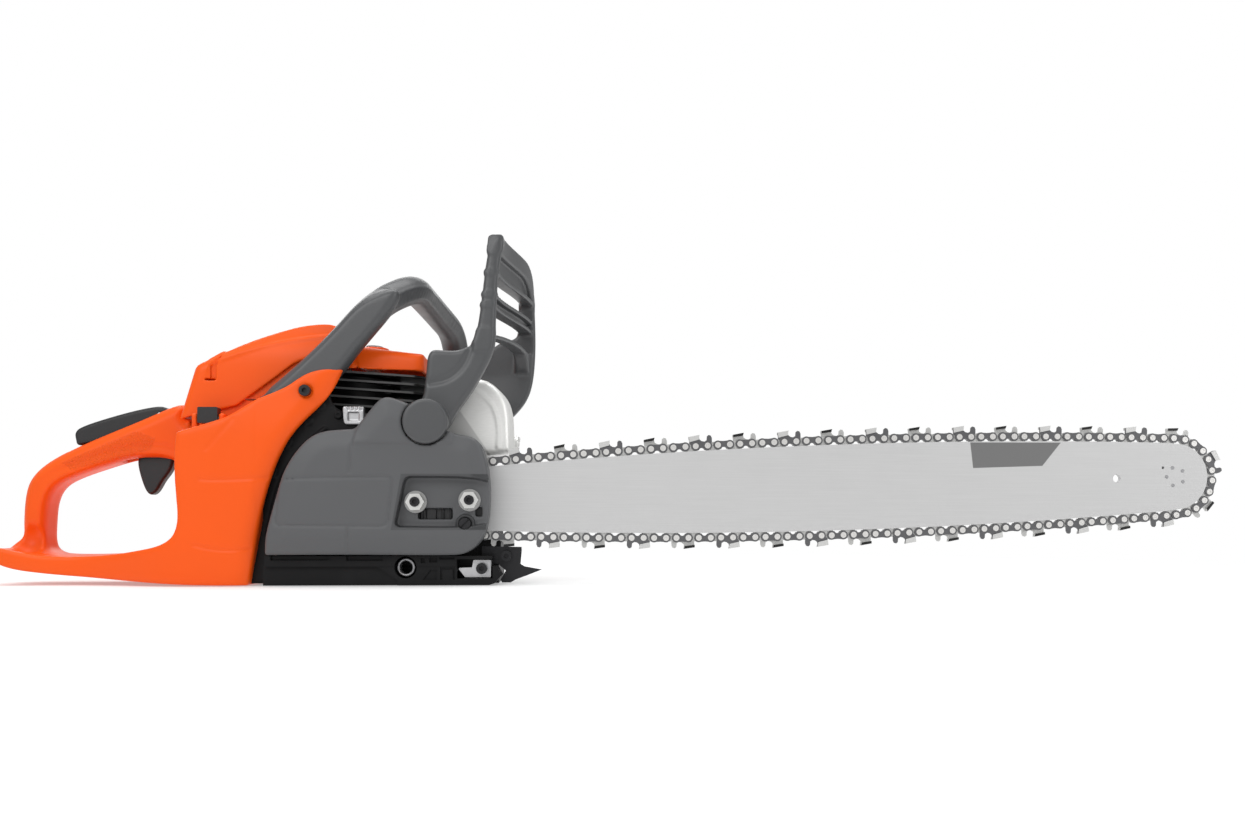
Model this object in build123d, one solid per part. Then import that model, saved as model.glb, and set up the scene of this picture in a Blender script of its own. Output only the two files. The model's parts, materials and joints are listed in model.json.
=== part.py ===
from build123d import *
from math import acos, asin, atan2, cos, degrees, hypot, pi, radians, sin, sqrt
import os

# Petrol chainsaw with a 24 inch sprocket-nose bar and 3/8 inch chain, in millimetres.
# X = 0 is the crankshaft axis and +X points along the bar, Y = 0 is the middle plane of the bar and
# +Y is the operator's left, Z = 0 is the ground that the saw stands on.

# ---------------------------------------------------------------- driving dimensions
crank_z = 67.1              # height of the crankshaft axis
engine_y = 42.0             # plane through the cylinder axis, where the crankcase halves meet
engine_tilt = 3.5           # the cylinder leans forward by this many degrees
bar_tilt = 1.94             # the bar points up by this many degrees
ground = 0.0

pitch = 9.525               # mean distance between chain rivets, half of a drive link's spacing
drive_link_count = 84
strap_thickness = 1.27
strap_hole = 5.1            # half of the distance between a tie strap's rivets
link_hole = pitch - strap_hole  # the same for a drive link
strap_end = 3.85            # radius of a strap's round ends
link_half = 0.65            # half thickness of a drive link
rivet_head = 2.5
rivet_height = 4.1          # chain rivets run this far outside the bar rails
rim_teeth = 7
nose_teeth = 11
rim_pitch_radius = rim_teeth * 2 * pitch / (2 * pi)
nose_pitch_radius = nose_teeth * 2 * pitch / (2 * pi)
nose_radius = nose_pitch_radius - rivet_height
nose_relief = 0.6

bar_half = 2.2              # half thickness of the bar
bar_rail_radius = 5208.0    # each rail is one long arc
bar_widest_at = 436.0       # distance from the crank axis, along the bar
bar_half_width = 36.7
bar_tail = 36.0
groove_half = 0.75
groove_depth = 8.2
stud_at = (61.5, 104.8)     # distance of the two bar studs from the crank axis
stud_low = -1.5             # the studs stand this far off the middle line of the bar
stud_radius = 4.0
mate_hole_at = 661.0        # hanging hole near the bar tip
mate_hole_radius = 3.5

bore_radius = 23.5          # 47 mm bore and 32 mm stroke make 55.5 cubic centimetres
stroke = 32.0
rod_length = 60.0
wrist_pin_radius = 5.0
crank_pin_radius = 6.0
main_radius = 7.5
web_radius = 32.0
chamber_radius = 38.0
rod_half = 5.5
running_gap = 0.03          # radial clearance of a shaft in its bearing

cover_face = -42.0          # outer face of the clutch cover
case_face = 5.0             # clutch side of the crankcase, behind the bar
case_split = engine_y
case_left = 72.0            # outer wall of the left crankcase half
starter_in = 98.0
starter_out = 130.0
tank_right = -30.0
tank_left = 104.0
wall = 2.6

handle_y = 40.0             # middle plane of the rear handle
handle_half = 17.0
front_tube = 12.5           # radius of the front handle
guard_pivot = (70.4, 131.9)
guard_right = -31.0
guard_left = 97.0
guard_bars = (                  # cross bars: near end, far end and height
    ((124, 269), (146, 262), 29.0),
    ((120.5, 233), (146, 232), 12.0),
    ((119.5, 205), (146, 205), 7.0),
)
trigger_pivot = (-160.0, 112.0)
lockout_pivot = (-163.0, 143.0)
pin_radius = 2.0
tensioner_at = (76.0, -11.5)    # pin of the chain tensioner, in bar coordinates
tensioner_pin = 2.0
screw_radius = 2.5
screw_head = 4.5
av_at = (52.6, 14.6)            # vibration spring in the foot, under the clutch cover
av_rear = (82.0, 60.0)          # Y and Z of the one between the tank and the crankcase
bumper_screw = (132.5, 22.9)
catcher_screw = (113.9, 13.4)
foot_recesses = (               # shallow recesses in the near face of the foot: X and Z limits
    (-55, -8, 20.4, 24), (5.4, 34.4, 20, 24), (65, 68.6, 18.2, 22), (71.8, 78.3, 18.7, 22.6),
    (80.2, 92.2, 21, 22.9), (80.6, 82.5, 4.6, 14.4), (80.6, 92.6, 12.6, 14.4), (90.8, 92.6, 4.6, 14.4),
)
fuel_cap_at = (-98.0, 40.0)
oil_cap_at = (96.0, 44.0)
oil_cap_y = 76.0
handle_screw = (-26.8, 157.2)
tensioner_screw_at = (101.5, 50.2)
tensioner_head = 4.6
latch_pivot = (-112.0, 141.0)
latch_pin_y = -13.2
rope_x = 27.0                   # the starter rope leaves the pulley here
rope_y = 109.0
inner_wall_y = 6.0              # orange wall behind the gap under the top cover

deck = 38.5                 # height of the cylinder's foot over the crank axis
head_top = 103.0            # top of the combustion chamber over the crank axis
fin_top = 111.5
fin_pitch = 7.0
plug_lean = 35.0
valve_at = (5, 16, head_top + 3.5)      # foot of the decompression valve, over the crank axis
intake_z = 135.0
clearance = 0.02            # radial clearance of a screw or stud in its hole

case_screws_at = ((-50, 30), (-48, 78), (60, 94), (116, 28))
starter_screws_at = ((-54, 22), (64, 22), (-56, 80), (64, 90))
starter_outline = ((-62, 12), (70, 12), (76, 30), (74, 92), (50, 124), (26, 134), (-30, 134), (-56, 116),
                   (-62, 96))

ENGINE = Pos(0, 0, crank_z) * Rot(0, engine_tilt, 0)
BAR = Pos(0, 0, crank_z) * Rot(0, -bar_tilt, 0)


# ---------------------------------------------------------------- helpers
def side_face(points, radius=0.0):
    """Closed outline in X and Z, with its corners rounded where a radius is given."""
    if radius:
        return make_face(FilletPolyline(*points, radius=radius, close=True))
    return make_face(Polyline(*points, close=True))


def prism(face, y_low, y_high):
    """Solid that an outline in X and Z sweeps from one Y to another."""
    plane = Plane(origin=(0, y_high, 0), x_dir=(1, 0, 0), z_dir=(0, -1, 0))
    return extrude(plane * face, amount=y_high - y_low)


def slab(points, y_low, y_high, radius=0.0):
    return prism(side_face(points, radius), y_low, y_high)


def plan(points, z_low, z_high):
    """Prism of an outline seen from above."""
    return Pos(0, 0, z_low) * extrude(make_face(Polyline(*points, close=True)), amount=z_high - z_low)


def block(x_low, x_high, y_low, y_high, z_low, z_high):
    size = (x_high - x_low, y_high - y_low, z_high - z_low)
    return Pos((x_low + x_high) / 2, (y_low + y_high) / 2, (z_low + z_high) / 2) * Box(*size)


def rod_y(x, z, radius, y_low, y_high):
    """Cylinder along Y."""
    return Pos(x, (y_low + y_high) / 2, z) * Rot(90, 0, 0) * Cylinder(radius, y_high - y_low)


def ring_y(x, z, outer, inner, y_low, y_high):
    return rod_y(x, z, outer, y_low, y_high) - rod_y(x, z, inner, y_low - 1, y_high + 1)


def rod_from(start, direction, radius, length):
    """Cylinder that leaves a point in a direction."""
    return Plane(origin=start, z_dir=direction).location * Pos(0, 0, length / 2) * Cylinder(radius, length)


def socket_screw(start, direction, shank, head=screw_head):
    """Hex-socket screw: its head stands on a point and its shank goes along a direction."""
    body = Pos(0, 0, shank / 2) * Cylinder(screw_radius, shank)
    cap = Pos(0, 0, -2.5) * Cylinder(head, 5.0)
    hexagon = Pos(0, 0, -5.0) * extrude(RegularPolygon(head * 0.5, 6), amount=2.5)
    return Plane(origin=start, z_dir=direction).location * (body + cap - hexagon)


def tube(points, radii, radius):
    """Round bar along straight runs that are joined by tangent arcs."""
    path = FilletPolyline(*points, radius=radii)
    return sweep(Plane(origin=path @ 0, z_dir=path % 0) * Circle(radius), path=path)


def solids_of(*shapes):
    """One group of separate solids."""
    found = []
    for shape in shapes:
        found.extend(shape.solids())
    return Compound(children=found)


def star(teeth, root, tip, root_half, tip_half, phase):
    """Toothed outline, with its gaps at the phase angle and every tooth pitch after it (degrees)."""
    points = []
    step = 360 / teeth
    for index in range(teeth):
        gap = phase + index * step
        corners = ((gap - root_half, root), (gap + root_half, root),
                   (gap + step / 2 - tip_half, tip), (gap + step / 2 + tip_half, tip))
        points += [(r * cos(radians(a)), r * sin(radians(a))) for a, r in corners]
    return make_face(Polyline(*points, close=True))


# ---------------------------------------------------------------- bar and chain, in bar coordinates
def rail_height(u, extra=0.0):
    """Half width of the bar at a distance u from the crank axis."""
    centre = bar_half_width - bar_rail_radius
    return centre + sqrt((bar_rail_radius + extra) ** 2 - (u - bar_widest_at) ** 2)


def nose_tangent(nose_u, extra=0.0):
    """Point where the long rail arc runs into the round nose."""
    lean = asin((nose_u - bar_widest_at) / (bar_rail_radius - nose_radius))
    radius = nose_radius + extra
    return nose_u + radius * sin(lean), radius * cos(lean)


def rim_tangent(height):
    """Tangent point on the rim's pitch circle of the run from the bar tail."""
    u, v = bar_tail, height
    reach = hypot(u, v)
    angle = atan2(v, u) + acos(rim_pitch_radius / reach)
    return rim_pitch_radius * cos(angle), rim_pitch_radius * sin(angle)


def chain_path(nose_u):
    """Closed line through the rivets, from the nose over the top, the rim and the underside."""
    tail = rail_height(bar_tail, rivet_height)
    rim_u, rim_v = rim_tangent(tail)
    top_u, top_v = nose_tangent(nose_u, rivet_height)
    crest = bar_half_width + rivet_height
    tip = nose_u + nose_pitch_radius
    edges = [
        ThreePointArc((tip, 0), (nose_u + nose_pitch_radius * cos(pi / 4), nose_pitch_radius * sin(pi / 4)),
                      (top_u, top_v)),
        ThreePointArc((top_u, top_v), (bar_widest_at, crest), (bar_tail, tail)),
        Line((bar_tail, tail), (rim_u, rim_v)),
        ThreePointArc((rim_u, rim_v), (-rim_pitch_radius, 0), (rim_u, -rim_v)),
        Line((rim_u, -rim_v), (bar_tail, -tail)),
        ThreePointArc((bar_tail, -tail), (bar_widest_at, -crest), (top_u, -top_v)),
        ThreePointArc((top_u, -top_v),
                      (nose_u + nose_pitch_radius * cos(pi / 4), -nose_pitch_radius * sin(pi / 4)), (tip, 0)),
    ]
    return Wire(edges)


chain_length = drive_link_count * 2 * pitch
nose_guess = 712.0
nose_at = nose_guess + (chain_length - chain_path(nose_guess).length) / 2   # the bar is slid until taut
PATH = chain_path(nose_at)


def rivet_place(distance):
    """Point of the rivet line in bar coordinates."""
    return PATH.position_at(distance / chain_length % 1.0)


def along_chain(distance, half):
    """Place of a link between its two rivets: local X along the chain, local Z away from the bar."""
    ahead = rivet_place(distance - half)
    behind = rivet_place(distance + half)
    middle = (ahead + behind) / 2
    angle = degrees(atan2(ahead.Y - behind.Y, ahead.X - behind.X))
    turn = Rot(0, -angle, 0)
    return BAR * Pos(middle.X, 0, middle.Y) * turn


def bar_outline(nose_u):
    """Bar outline, with its nose a little inside the chain so that the sprocket lifts the straps off."""
    top_u, top_v = nose_tangent(nose_u, -nose_relief)
    rail_u = top_u - 12
    rail_v = rail_height(rail_u)
    end = bar_tail + 4
    tail = rail_height(end)
    face = make_face(Wire([
        ThreePointArc((end, tail), (bar_widest_at, bar_half_width), (rail_u, rail_v)),
        Line((rail_u, rail_v), (top_u, top_v)),
        ThreePointArc((top_u, top_v), (nose_u + nose_radius - nose_relief, 0), (top_u, -top_v)),
        Line((top_u, -top_v), (rail_u, -rail_v)),
        ThreePointArc((rail_u, -rail_v), (bar_widest_at, -bar_half_width), (end, -tail)),
        Line((end, -tail), (end, tail)),
    ]))
    return fillet(face.vertices().group_by(Axis.X)[0], 9)


def guide_bar():
    outline = bar_outline(nose_at)
    body = prism(outline, -bar_half, bar_half)
    inner = offset(outline, -groove_depth)
    groove = prism(outline, -groove_half, groove_half) - prism(inner, -groove_half, groove_half)
    nose = rod_y(nose_at, 0, nose_radius + 1, -groove_half, groove_half)
    body = body - groove - nose
    body -= prism(Pos(82, stud_low) * SlotOverall(66, 2 * stud_radius + 0.3), -3, 3)
    body -= rod_y(tensioner_at[0], tensioner_at[1], tensioner_pin + 0.4, -3, 3)
    body -= rod_y(mate_hole_at, 0, mate_hole_radius, -3, 3)
    body -= rod_y(nose_at - 11, 8, 1.2, -3, 0)
    for x, z in nose_rivet_places():
        body -= rod_y(x, z, 1.5, -3, 3)
    return BAR * body


def nose_rivet_places():
    """Five rivets on a circle that hold the nose together."""
    return [(nose_at + 8 * cos(radians(a)), 8 * sin(radians(a))) for a in range(36, 396, 72)]


def nose_sprocket():
    teeth = prism(star(nose_teeth, 22.0, 28.3, 10.5, 2.2, 0), -0.6, 0.6)
    bore = rod_y(0, 0, 13.2, -2, 2)
    race = ring_y(0, 0, 13.0, 6.0, -0.7, 0.7)
    wheel = Pos(nose_at, 0, 0) * (teeth - bore)
    hub = Pos(nose_at, 0, 0) * race
    rivets = []
    for x, z in nose_rivet_places():
        hub -= rod_y(x, z, 1.5, -2, 2)
        rivets.append(rod_y(x, z, 1.48, -bar_half - 0.25, bar_half + 0.25))
    return BAR * solids_of(wheel, hub, *rivets)


def link_holes(half, radius):
    return rod_y(-half, 0, radius, -5, 5) + rod_y(half, 0, radius, -5, 5)


def drive_link():
    shape = slab([(-7.4, 3.0), (7.4, 3.0), (7.4, -2.2), (3.6, -6.4), (1.4, -10.4), (-1.6, -10.4),
                  (-4.2, -6.4), (-7.4, -2.2)], -link_half, link_half)
    return shape - link_holes(link_hole, 1.72)


def strap_blank():
    """Waisted plate with two round ends and a notch towards the bar."""
    ends = Pos(-strap_hole, 0) * Circle(strap_end) + Pos(strap_hole, 0) * Circle(strap_end)
    middle = make_face(Polyline((-strap_hole, -3.5), (strap_hole, -3.5), (strap_hole, 3.6), (0, 3.2),
                                (-strap_hole, 3.6), close=True))
    return ends + middle - Pos(0, -4.3) * Circle(2.6)


def tie_strap():
    return prism(strap_blank(), link_half, link_half + strap_thickness) - link_holes(strap_hole, 1.42)


def cutter():
    """Right-hand cutter: strap with the depth gauge and the side plate, bent over into the top plate."""
    rise = make_face(Polyline((-10.3, 2.6), (-7.0, 0.0), (7.0, 0.0), (9.0, 3.0), (9.1, 6.4), (8.2, 8.4),
                              (6.4, 8.9), (5.0, 7.8), (4.6, 4.6), (2.6, 3.5), (0.4, 4.0), (-1.4, 5.4),
                              (-2.0, 8.6), (-10.6, 7.4), close=True))
    side = prism(strap_blank() + (rise - Pos(0, -4.3) * Circle(2.6)), link_half, link_half + strap_thickness)
    plate = slab([(-10.6, 6.0), (-2.1, 7.0), (-1.3, 9.4), (-10.6, 8.1)], -1.2, link_half + 2.6)
    cheek = slab([(-10.4, 3.6), (-2.0, 5.4), (-1.5, 9.0), (-10.4, 7.8)],
                 link_half + strap_thickness - 0.1, link_half + 2.6)
    return side + plate + cheek - link_holes(strap_hole, 1.42)


def chain_rivet():
    """Rivet with a wide head, a little dished, on both sides."""
    reach = link_half + strap_thickness
    body = rod_y(0, 0, 1.36, -reach, reach) + rod_y(0, 0, 1.62, -link_half, link_half)
    for low, high in ((-reach - 0.55, -reach), (reach, reach + 0.55)):
        body += rod_y(0, 0, rivet_head, low, high)
    for y in (-reach - 0.55, reach + 0.55):
        body -= rod_y(0, 0, 1.1, y - 0.2, y + 0.2)
    return body


def chain_nodes():
    """The four kinds of chain piece, laid round the loop."""
    links, straps, cutters, rivets = [], [], [], []
    link, rivet = drive_link(), chain_rivet()
    strap, cut = tie_strap(), cutter()
    right_strap, right_cut = mirror(strap, about=Plane.XZ), mirror(cut, about=Plane.XZ)
    for index in range(drive_link_count):
        start = 2 * pitch * index
        at_strap = along_chain(start + pitch, strap_hole)
        links.append(along_chain(start, link_hole) * link)
        if index % 4 == 0:
            cutters.append(at_strap * right_cut)
        else:
            straps.append(at_strap * right_strap)
        if index % 4 == 2:
            cutters.append(at_strap * cut)
        else:
            straps.append(at_strap * strap)
        for distance in (start + link_hole, start + 2 * pitch - link_hole):
            place = rivet_place(distance)
            rivets.append(BAR * Pos(place.X, 0, place.Y) * rivet)
    return {"chain_drive_links": solids_of(*links), "chain_tie_straps": solids_of(*straps),
            "chain_cutters": solids_of(*cutters), "chain_rivets": solids_of(*rivets)}


# ---------------------------------------------------------------- clutch and oil pump, on the crank axis
def clutch_drum():
    """Cup with the chain rim behind it, which turns on a needle bearing."""
    cup = ring_y(0, crank_z, 37.5, 35.5, -31, -9) + rod_y(0, crank_z, 37.5, -10.8, -9)
    hub = rod_y(0, crank_z, 9.8, -9, 4.4)
    teeth = Pos(0, 0, crank_z) * prism(star(rim_teeth, 9.9, 16.6, 10.0, 2.2, 180 + bar_tilt), -1.0, 1.0)
    flanges = rod_y(0, crank_z, 16.6, 2.9, 4.4) + rod_y(0, crank_z, 16.6, -5.2, -2.9)
    web = rod_y(0, crank_z, 12.6, -5.2, -1.0) + rod_y(0, crank_z, 12.6, 1.0, 4.4)
    return cup + hub + teeth + flanges + web - rod_y(0, crank_z, 8.03, -12, 6)


def drum_bearing():
    return ring_y(0, crank_z, 8.0, 6.0 + running_gap, -10, 4.4)


def clutch_hub():
    """Spider that drives the three shoes."""
    body = rod_y(0, crank_z, 13.0, -29, -15)
    for angle in (0, 120, 240):
        arm = block(-4, 4, -27, -17, 0, 27)
        body += Pos(0, 0, crank_z) * Rot(0, angle, 0) * arm
    hexagon = Pos(0, 0, crank_z) * prism(RegularPolygon(9.5, 6), -33, -29)
    return body + hexagon - rod_y(0, crank_z, 5.0, -40, -10)


def clutch_shoes():
    shoe = ring_y(0, 0, 34.4, 19.0, -29, -15)
    shoe -= ring_y(0, 0, 26.0, 23.0, -30, -27.4)
    shoe &= slab([(0, 0), (0, 80), (-69.3, 40), (-69.3, -40)], -40, 0)
    pieces = []
    for angle in (0, 120, 240):
        place = Pos(0, 0, crank_z) * Rot(0, angle, 0)
        arm = block(-4.3, 4.3, -31, -13, 0, 27.4) + block(-0.6, 0.6, -31, -13, 0, 40)
        pieces.append(place * (shoe - arm - Rot(0, -120, 0) * arm))
    return solids_of(*pieces)


def clutch_spring():
    return Pos(0, -28.2, crank_z) * Rot(90, 0, 0) * Torus(24.5, 0.75)


def oil_pump():
    """Flat pump housing beside the crankshaft with its outlet to the bar."""
    body = slab([(16, 50), (36, 44), (40, 58), (34, 78), (16, 84)], case_face, 12)
    body -= rod_y(0, crank_z, 18, 0, 20)
    return body + rod_from((36, 8.5, 50), (1, 0, 0.2), 2.5, 12)


# ---------------------------------------------------------------- crank train
def crankshaft():
    """Built-up crankshaft: two full webs with their shafts, either side of the connecting rod."""
    gap = rod_half + 0.3
    right = rod_y(0, crank_z, web_radius, engine_y - gap - 8.7, engine_y - gap)
    right += rod_y(0, crank_z, main_radius, 13, 28) + rod_y(0, crank_z, 6.0, -13, 14)
    right += rod_y(0, crank_z, 4.98, -34, -12)
    left = rod_y(0, crank_z, web_radius, engine_y + gap, engine_y + gap + 8.7)
    left += rod_y(0, crank_z, main_radius, 56, 74)
    taper = Pos(0, 82, crank_z) * Rot(-90, 0, 0) * Cone(main_radius, 5.5, 16)
    left += taper + rod_y(0, crank_z, 4.0, 89, 102)
    return solids_of(right, left)


def rod_outline(width_big, width_small):
    big, small = stroke / 2, stroke / 2 + rod_length
    shank = make_face(Polyline((-width_big, big), (width_big, big), (width_small, small),
                               (-width_small, small), close=True))
    return shank + Pos(0, big) * Circle(10.5) + Pos(0, small) * Circle(8.5)


def connecting_rod():
    """I-section rod at top dead centre, with the crank pin pressed through its big end."""
    big, small = stroke / 2, stroke / 2 + rod_length
    ends = rod_y(0, big, 10.5, -rod_half, rod_half) + rod_y(0, small, 8.5, -rod_half, rod_half)
    shank = prism(rod_outline(6.0, 4.5), -3.5, 3.5)
    relief = slab([(-3.4, big + 13), (3.4, big + 13), (2.4, small - 11), (-2.4, small - 11)], 1.2, 9)
    body = ends + shank - relief - mirror(relief, about=Plane.XZ)
    body -= rod_y(0, big, crank_pin_radius + 0.02, -9, 9)
    body -= rod_y(0, small, wrist_pin_radius + running_gap, -9, 9)
    pin = rod_y(0, big, crank_pin_radius, -rod_half, rod_half)
    return Pos(0, engine_y, 0) * ENGINE * solids_of(body, pin)


def piston():
    """Crown, skirt, two ring grooves and the pin bosses."""
    pin = stroke / 2 + rod_length
    crown = pin + 20
    body = Pos(0, 0, (pin - 15 + crown) / 2) * Cylinder(bore_radius - 0.06, crown - pin + 15)
    body -= Pos(0, 0, pin - 3) * Cylinder(bore_radius - 3, 30)
    body += rod_y(0, pin, 8.0, -bore_radius + 2, -rod_half - 1) + rod_y(0, pin, 8.0, rod_half + 1,
                                                                       bore_radius - 2)
    for drop in (4, 9):
        cut = Pos(0, 0, crown - drop) * (Cylinder(bore_radius + 1, 1.6) - Cylinder(bore_radius - 2.2, 1.6))
        body -= cut
    body -= rod_y(0, pin, wrist_pin_radius + 0.01, -30, 30)
    for side in (-1, 1):
        body -= rod_y(0, pin, 12, side * bore_radius - 1.6, side * bore_radius + 1.6)
        body += ring_y(0, pin, 8.0, wrist_pin_radius + 0.01, side * (bore_radius - 2.3) - 1.2,
                       side * (bore_radius - 2.3) + 1.2) & Pos(0, 0, pin) * Cylinder(bore_radius - 2, 30)
    return Pos(0, engine_y, 0) * ENGINE * body


def piston_rings():
    crown = stroke / 2 + rod_length + 20
    ring = Cylinder(bore_radius - 0.03, 1.4) - Cylinder(bore_radius - 2.0, 1.4)
    ring -= block(bore_radius - 4, bore_radius + 2, -0.3, 0.3, -2, 2)
    rings = [Pos(0, 0, crown - drop) * Rot(0, 0, 60 * drop) * ring for drop in (4, 9)]
    return Pos(0, engine_y, 0) * ENGINE * solids_of(*rings)


def wrist_pin():
    pin = stroke / 2 + rod_length
    half = bore_radius - 3.2
    body = ring_y(0, pin, wrist_pin_radius, 3.0, -half, half)
    return Pos(0, engine_y, 0) * ENGINE * body


# ---------------------------------------------------------------- cylinder and ignition
def cylinder():
    """Barrel and head in one casting, with its fins, foot and the two port necks."""
    barrel = Pos(0, 0, (deck + head_top + 5) / 2) * Cylinder(bore_radius + 4.5, head_top + 5 - deck)
    foot = block(-31, 31, -31, 31, deck, deck + 7)
    body = barrel + foot
    for index in range(9):
        z = fin_top - 1.6 - fin_pitch * index
        half = 50 if index < 7 else 38
        fin = extrude(Pos(5, 0, z) * RectangleRounded(2 * half + 4, 70, 12), amount=1.7)
        body += fin
    body += block(-31, 31, -4, 4, 60, fin_top)
    body -= block(-80, -33.9, -24, 24, 44, 90) + block(36, 90, -24, 24, 44, 84)
    body += rod_from((-24, 0, 66), (-1, 0, 0), 15, 10) + block(22, 36, -22, 22, 48, 80)
    body -= Pos(0, 0, (deck + head_top) / 2 - 5) * Cylinder(bore_radius, head_top - deck + 10)
    body -= rod_from((-15, 0, 66), (-1, 0, 0), 9.5, 25) + block(18, 40, -16, 16, 54, 74)
    body -= spark_place() * Cylinder(7.1, 60) + spark_place() * Pos(0, 0, 26.4) * Cylinder(12, 40)
    body -= Pos(*valve_at) * (Pos(0, 0, -3.5) * Cylinder(5.05, 60) + Pos(0, 0, 14.9) * Cylinder(9.6, 20))
    for x in (-25, 25):
        for y in (-25, 25):
            body -= Pos(x, y, 60) * Cylinder(5.2, 120) & block(-80, 80, -80, 80, deck + 7, 130)
            body -= Pos(x, y, deck) * Cylinder(screw_radius + 0.2, 20)
    return Pos(0, engine_y, 0) * ENGINE * body


def spark_place():
    """Axis of the spark plug, from the top of the combustion chamber up and back."""
    return Pos(-12, 0, head_top) * Rot(0, -plug_lean, 0)


def spark_plug():
    """Plug along its own axis: thread, hexagon, insulator and terminal."""
    body = Pos(0, 0, 3.5) * Cylinder(7.0, 13) + Pos(0, 0, 13.5) * extrude(RegularPolygon(9.5, 6), amount=7)
    body += Pos(0, 0, 10) * Cylinder(9.0, 7.2)
    body += Pos(0, 0, 26) * Cylinder(5.2, 12) + Pos(0, 0, 33) * Cylinder(2.6, 4)
    return Pos(0, engine_y, 0) * ENGINE * spark_place() * body


def cylinder_screw_places():
    return [(Pos(0, engine_y, 0) * ENGINE * Pos(x, y, deck + 7)) for x in (-25, 25) for y in (-25, 25)]


def decompression_valve():
    """Valve body screwed into the head, with the button's bore."""
    body = Cylinder(5.0, 10) + Pos(0, 0, 5) * extrude(RegularPolygon(8, 6), amount=5)
    body += Pos(0, 0, 16) * Cylinder(7.0, 12)
    body -= Pos(0, 0, 16) * Cylinder(3.3, 14)
    return decompression_place() * body


def decompression_place():
    return Pos(0, engine_y, 0) * ENGINE * Pos(*valve_at)


def decompression_button():
    """Push knob on its stem, standing out of the collar of the top cover."""
    body = Pos(0, 0, 22) * Cylinder(3.2, 18) + Pos(0, 0, 31.5) * Cylinder(8.0, 7)
    return decompression_place() * fillet(body.edges().group_by(Axis.Z)[-1], 1.5)


def flywheel():
    """Magnet wheel with fan blades on its outer side."""
    body = rod_y(0, crank_z, 46, 78, 84) + rod_y(0, crank_z, 14, 75, 88)
    for index in range(16):
        blade = block(-1.1, 1.1, 84, 95, 20, 45)
        body += Pos(0, 0, crank_z) * Rot(0, index * 22.5, 0) * blade
    bore = Pos(0, 82, crank_z) * Rot(-90, 0, 0) * Cone(main_radius + 0.03, 5.53, 16)
    return body - bore - rod_y(0, crank_z, 4.1, 86, 100)


def flywheel_nut():
    nut = Pos(0, 0, crank_z) * prism(RegularPolygon(7.5, 6), 90.2, 96)
    return nut - rod_y(0, crank_z, 4.02, 80, 99)


def ignition_module():
    """Coil on a laminated core beside the flywheel."""
    core = block(-46, -14, 79, 87, 116.5, 124) + block(-46, -38, 79, 87, 113.6, 132)
    coil = block(-36, -12, 78.5, 93, 122, 140)
    return core + coil


def ignition_lead():
    """Lead from the coil to the rubber boot on the spark plug."""
    boot_axis = Pos(0, engine_y, 0) * ENGINE * spark_place()
    boot = boot_axis * (Pos(0, 0, 31.5) * Cylinder(9.5, 14) - Pos(0, 0, 28.5) * Cylinder(5.4, 9)
                        - Pos(0, 0, 33) * Cylinder(2.8, 5))
    x, z = boot_axis.position.X - 19, boot_axis.position.Z + 33
    lead = tube([(x, engine_y + 6, z), (x, 86, z), (x, 86, 140)], [24], 3.4)
    return solids_of(boot, lead - boot_axis * Pos(0, 0, 31.5) * Cylinder(9.5, 14))


# ---------------------------------------------------------------- crankcase
def case_profile():
    """Side outline of the crankcase above its foot."""
    return side_face([(-58, 14), (126, 14), (128, 34), (116, 92), (92, 101), (66, 104), (38, 107),
                      (-34, 107), (-52, 88), (-58, 60)])


def deck_cut(y_low, y_high):
    """Everything above the cylinder's foot."""
    return ENGINE * block(-70, 150, y_low, y_high, deck, deck + 80)


def crankcase_right():
    """Clutch-side half: foot, oil tank, bar pad and the right main bearing's seat."""
    body = prism(case_profile(), case_face, case_split)
    body += foot()
    body += BAR * block(44, 118, bar_half, case_face, -17, 17)
    body -= deck_cut(-10, 60)
    body -= rod_y(0, crank_z, chamber_radius, 27, 60)
    body -= rod_y(0, crank_z, 17.52, 14, 30) + rod_y(0, crank_z, 11.2, 0, 20)
    body -= ring_y(0, crank_z, 44, 11, 2, 8) & block(-60, 44, 0, 20, 20, 120)
    body -= slab([(14, 42), (37.5, 42), (42, 58), (36, 80), (14, 86)], 0, 12.2)
    body -= rod_from((30, 8.5, 48.8), (1, 0, 0.2), 2.6, 20)
    body -= block(62, 122, 12, case_split - 3, 18, 84)
    body -= rod_y(*av_at, 9.0, -30, 0)
    body -= block(106, 130, 0, case_face + 2.5, -1, 38)
    body -= block(94, 123, -30, -6, 5.4, 21.2)
    body -= barrel_mouth()
    for u in stud_at:
        body -= BAR * rod_y(u, stud_low, stud_radius + clearance, -5, 22)
    for x, z in case_screws_at:
        body -= rod_y(x, z, screw_radius + clearance, 20, 60)
    return body - rod_y(*bumper_screw, screw_radius + clearance, 0, 20)


def foot():
    """Clutch-side half of the foot: ledge under the cover, hollow below it, spring boss and webs."""
    body = block(-62, 126, 0, case_split, ground, 14) + block(-60, 122, -27, case_face, 15.4, 23.8)
    body += slab([(-62, ground), (120, ground), (124.7, 1.5), (130.3, 8), (126, 15.4), (-62, 15.4)], -23, 0)
    body += slab([(46, ground), (120, ground), (124.7, 1.5), (130.3, 8), (126, 15.4), (29, 15.4), (46, 4.3)],
                 -26, -23)
    body += rod_y(*av_at, 12.5, -26, -23) & block(0, 100, -30, 0, ground, 23.8)
    for x_low, x_high, z_low, z_high in foot_recesses:
        body -= block(x_low, x_high, -28, -24.6, z_low, z_high)
    return body - slab([(66.5, 4.6), (72.5, 12.4), (78, 12.4), (78, 4.6)], -28, -24.6)


def barrel_mouth():
    """Room for the connecting rod through the deck under the barrel."""
    return Pos(0, engine_y, 0) * ENGINE * Pos(0, 0, deck - 6) * Cylinder(bore_radius, 60)


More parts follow.
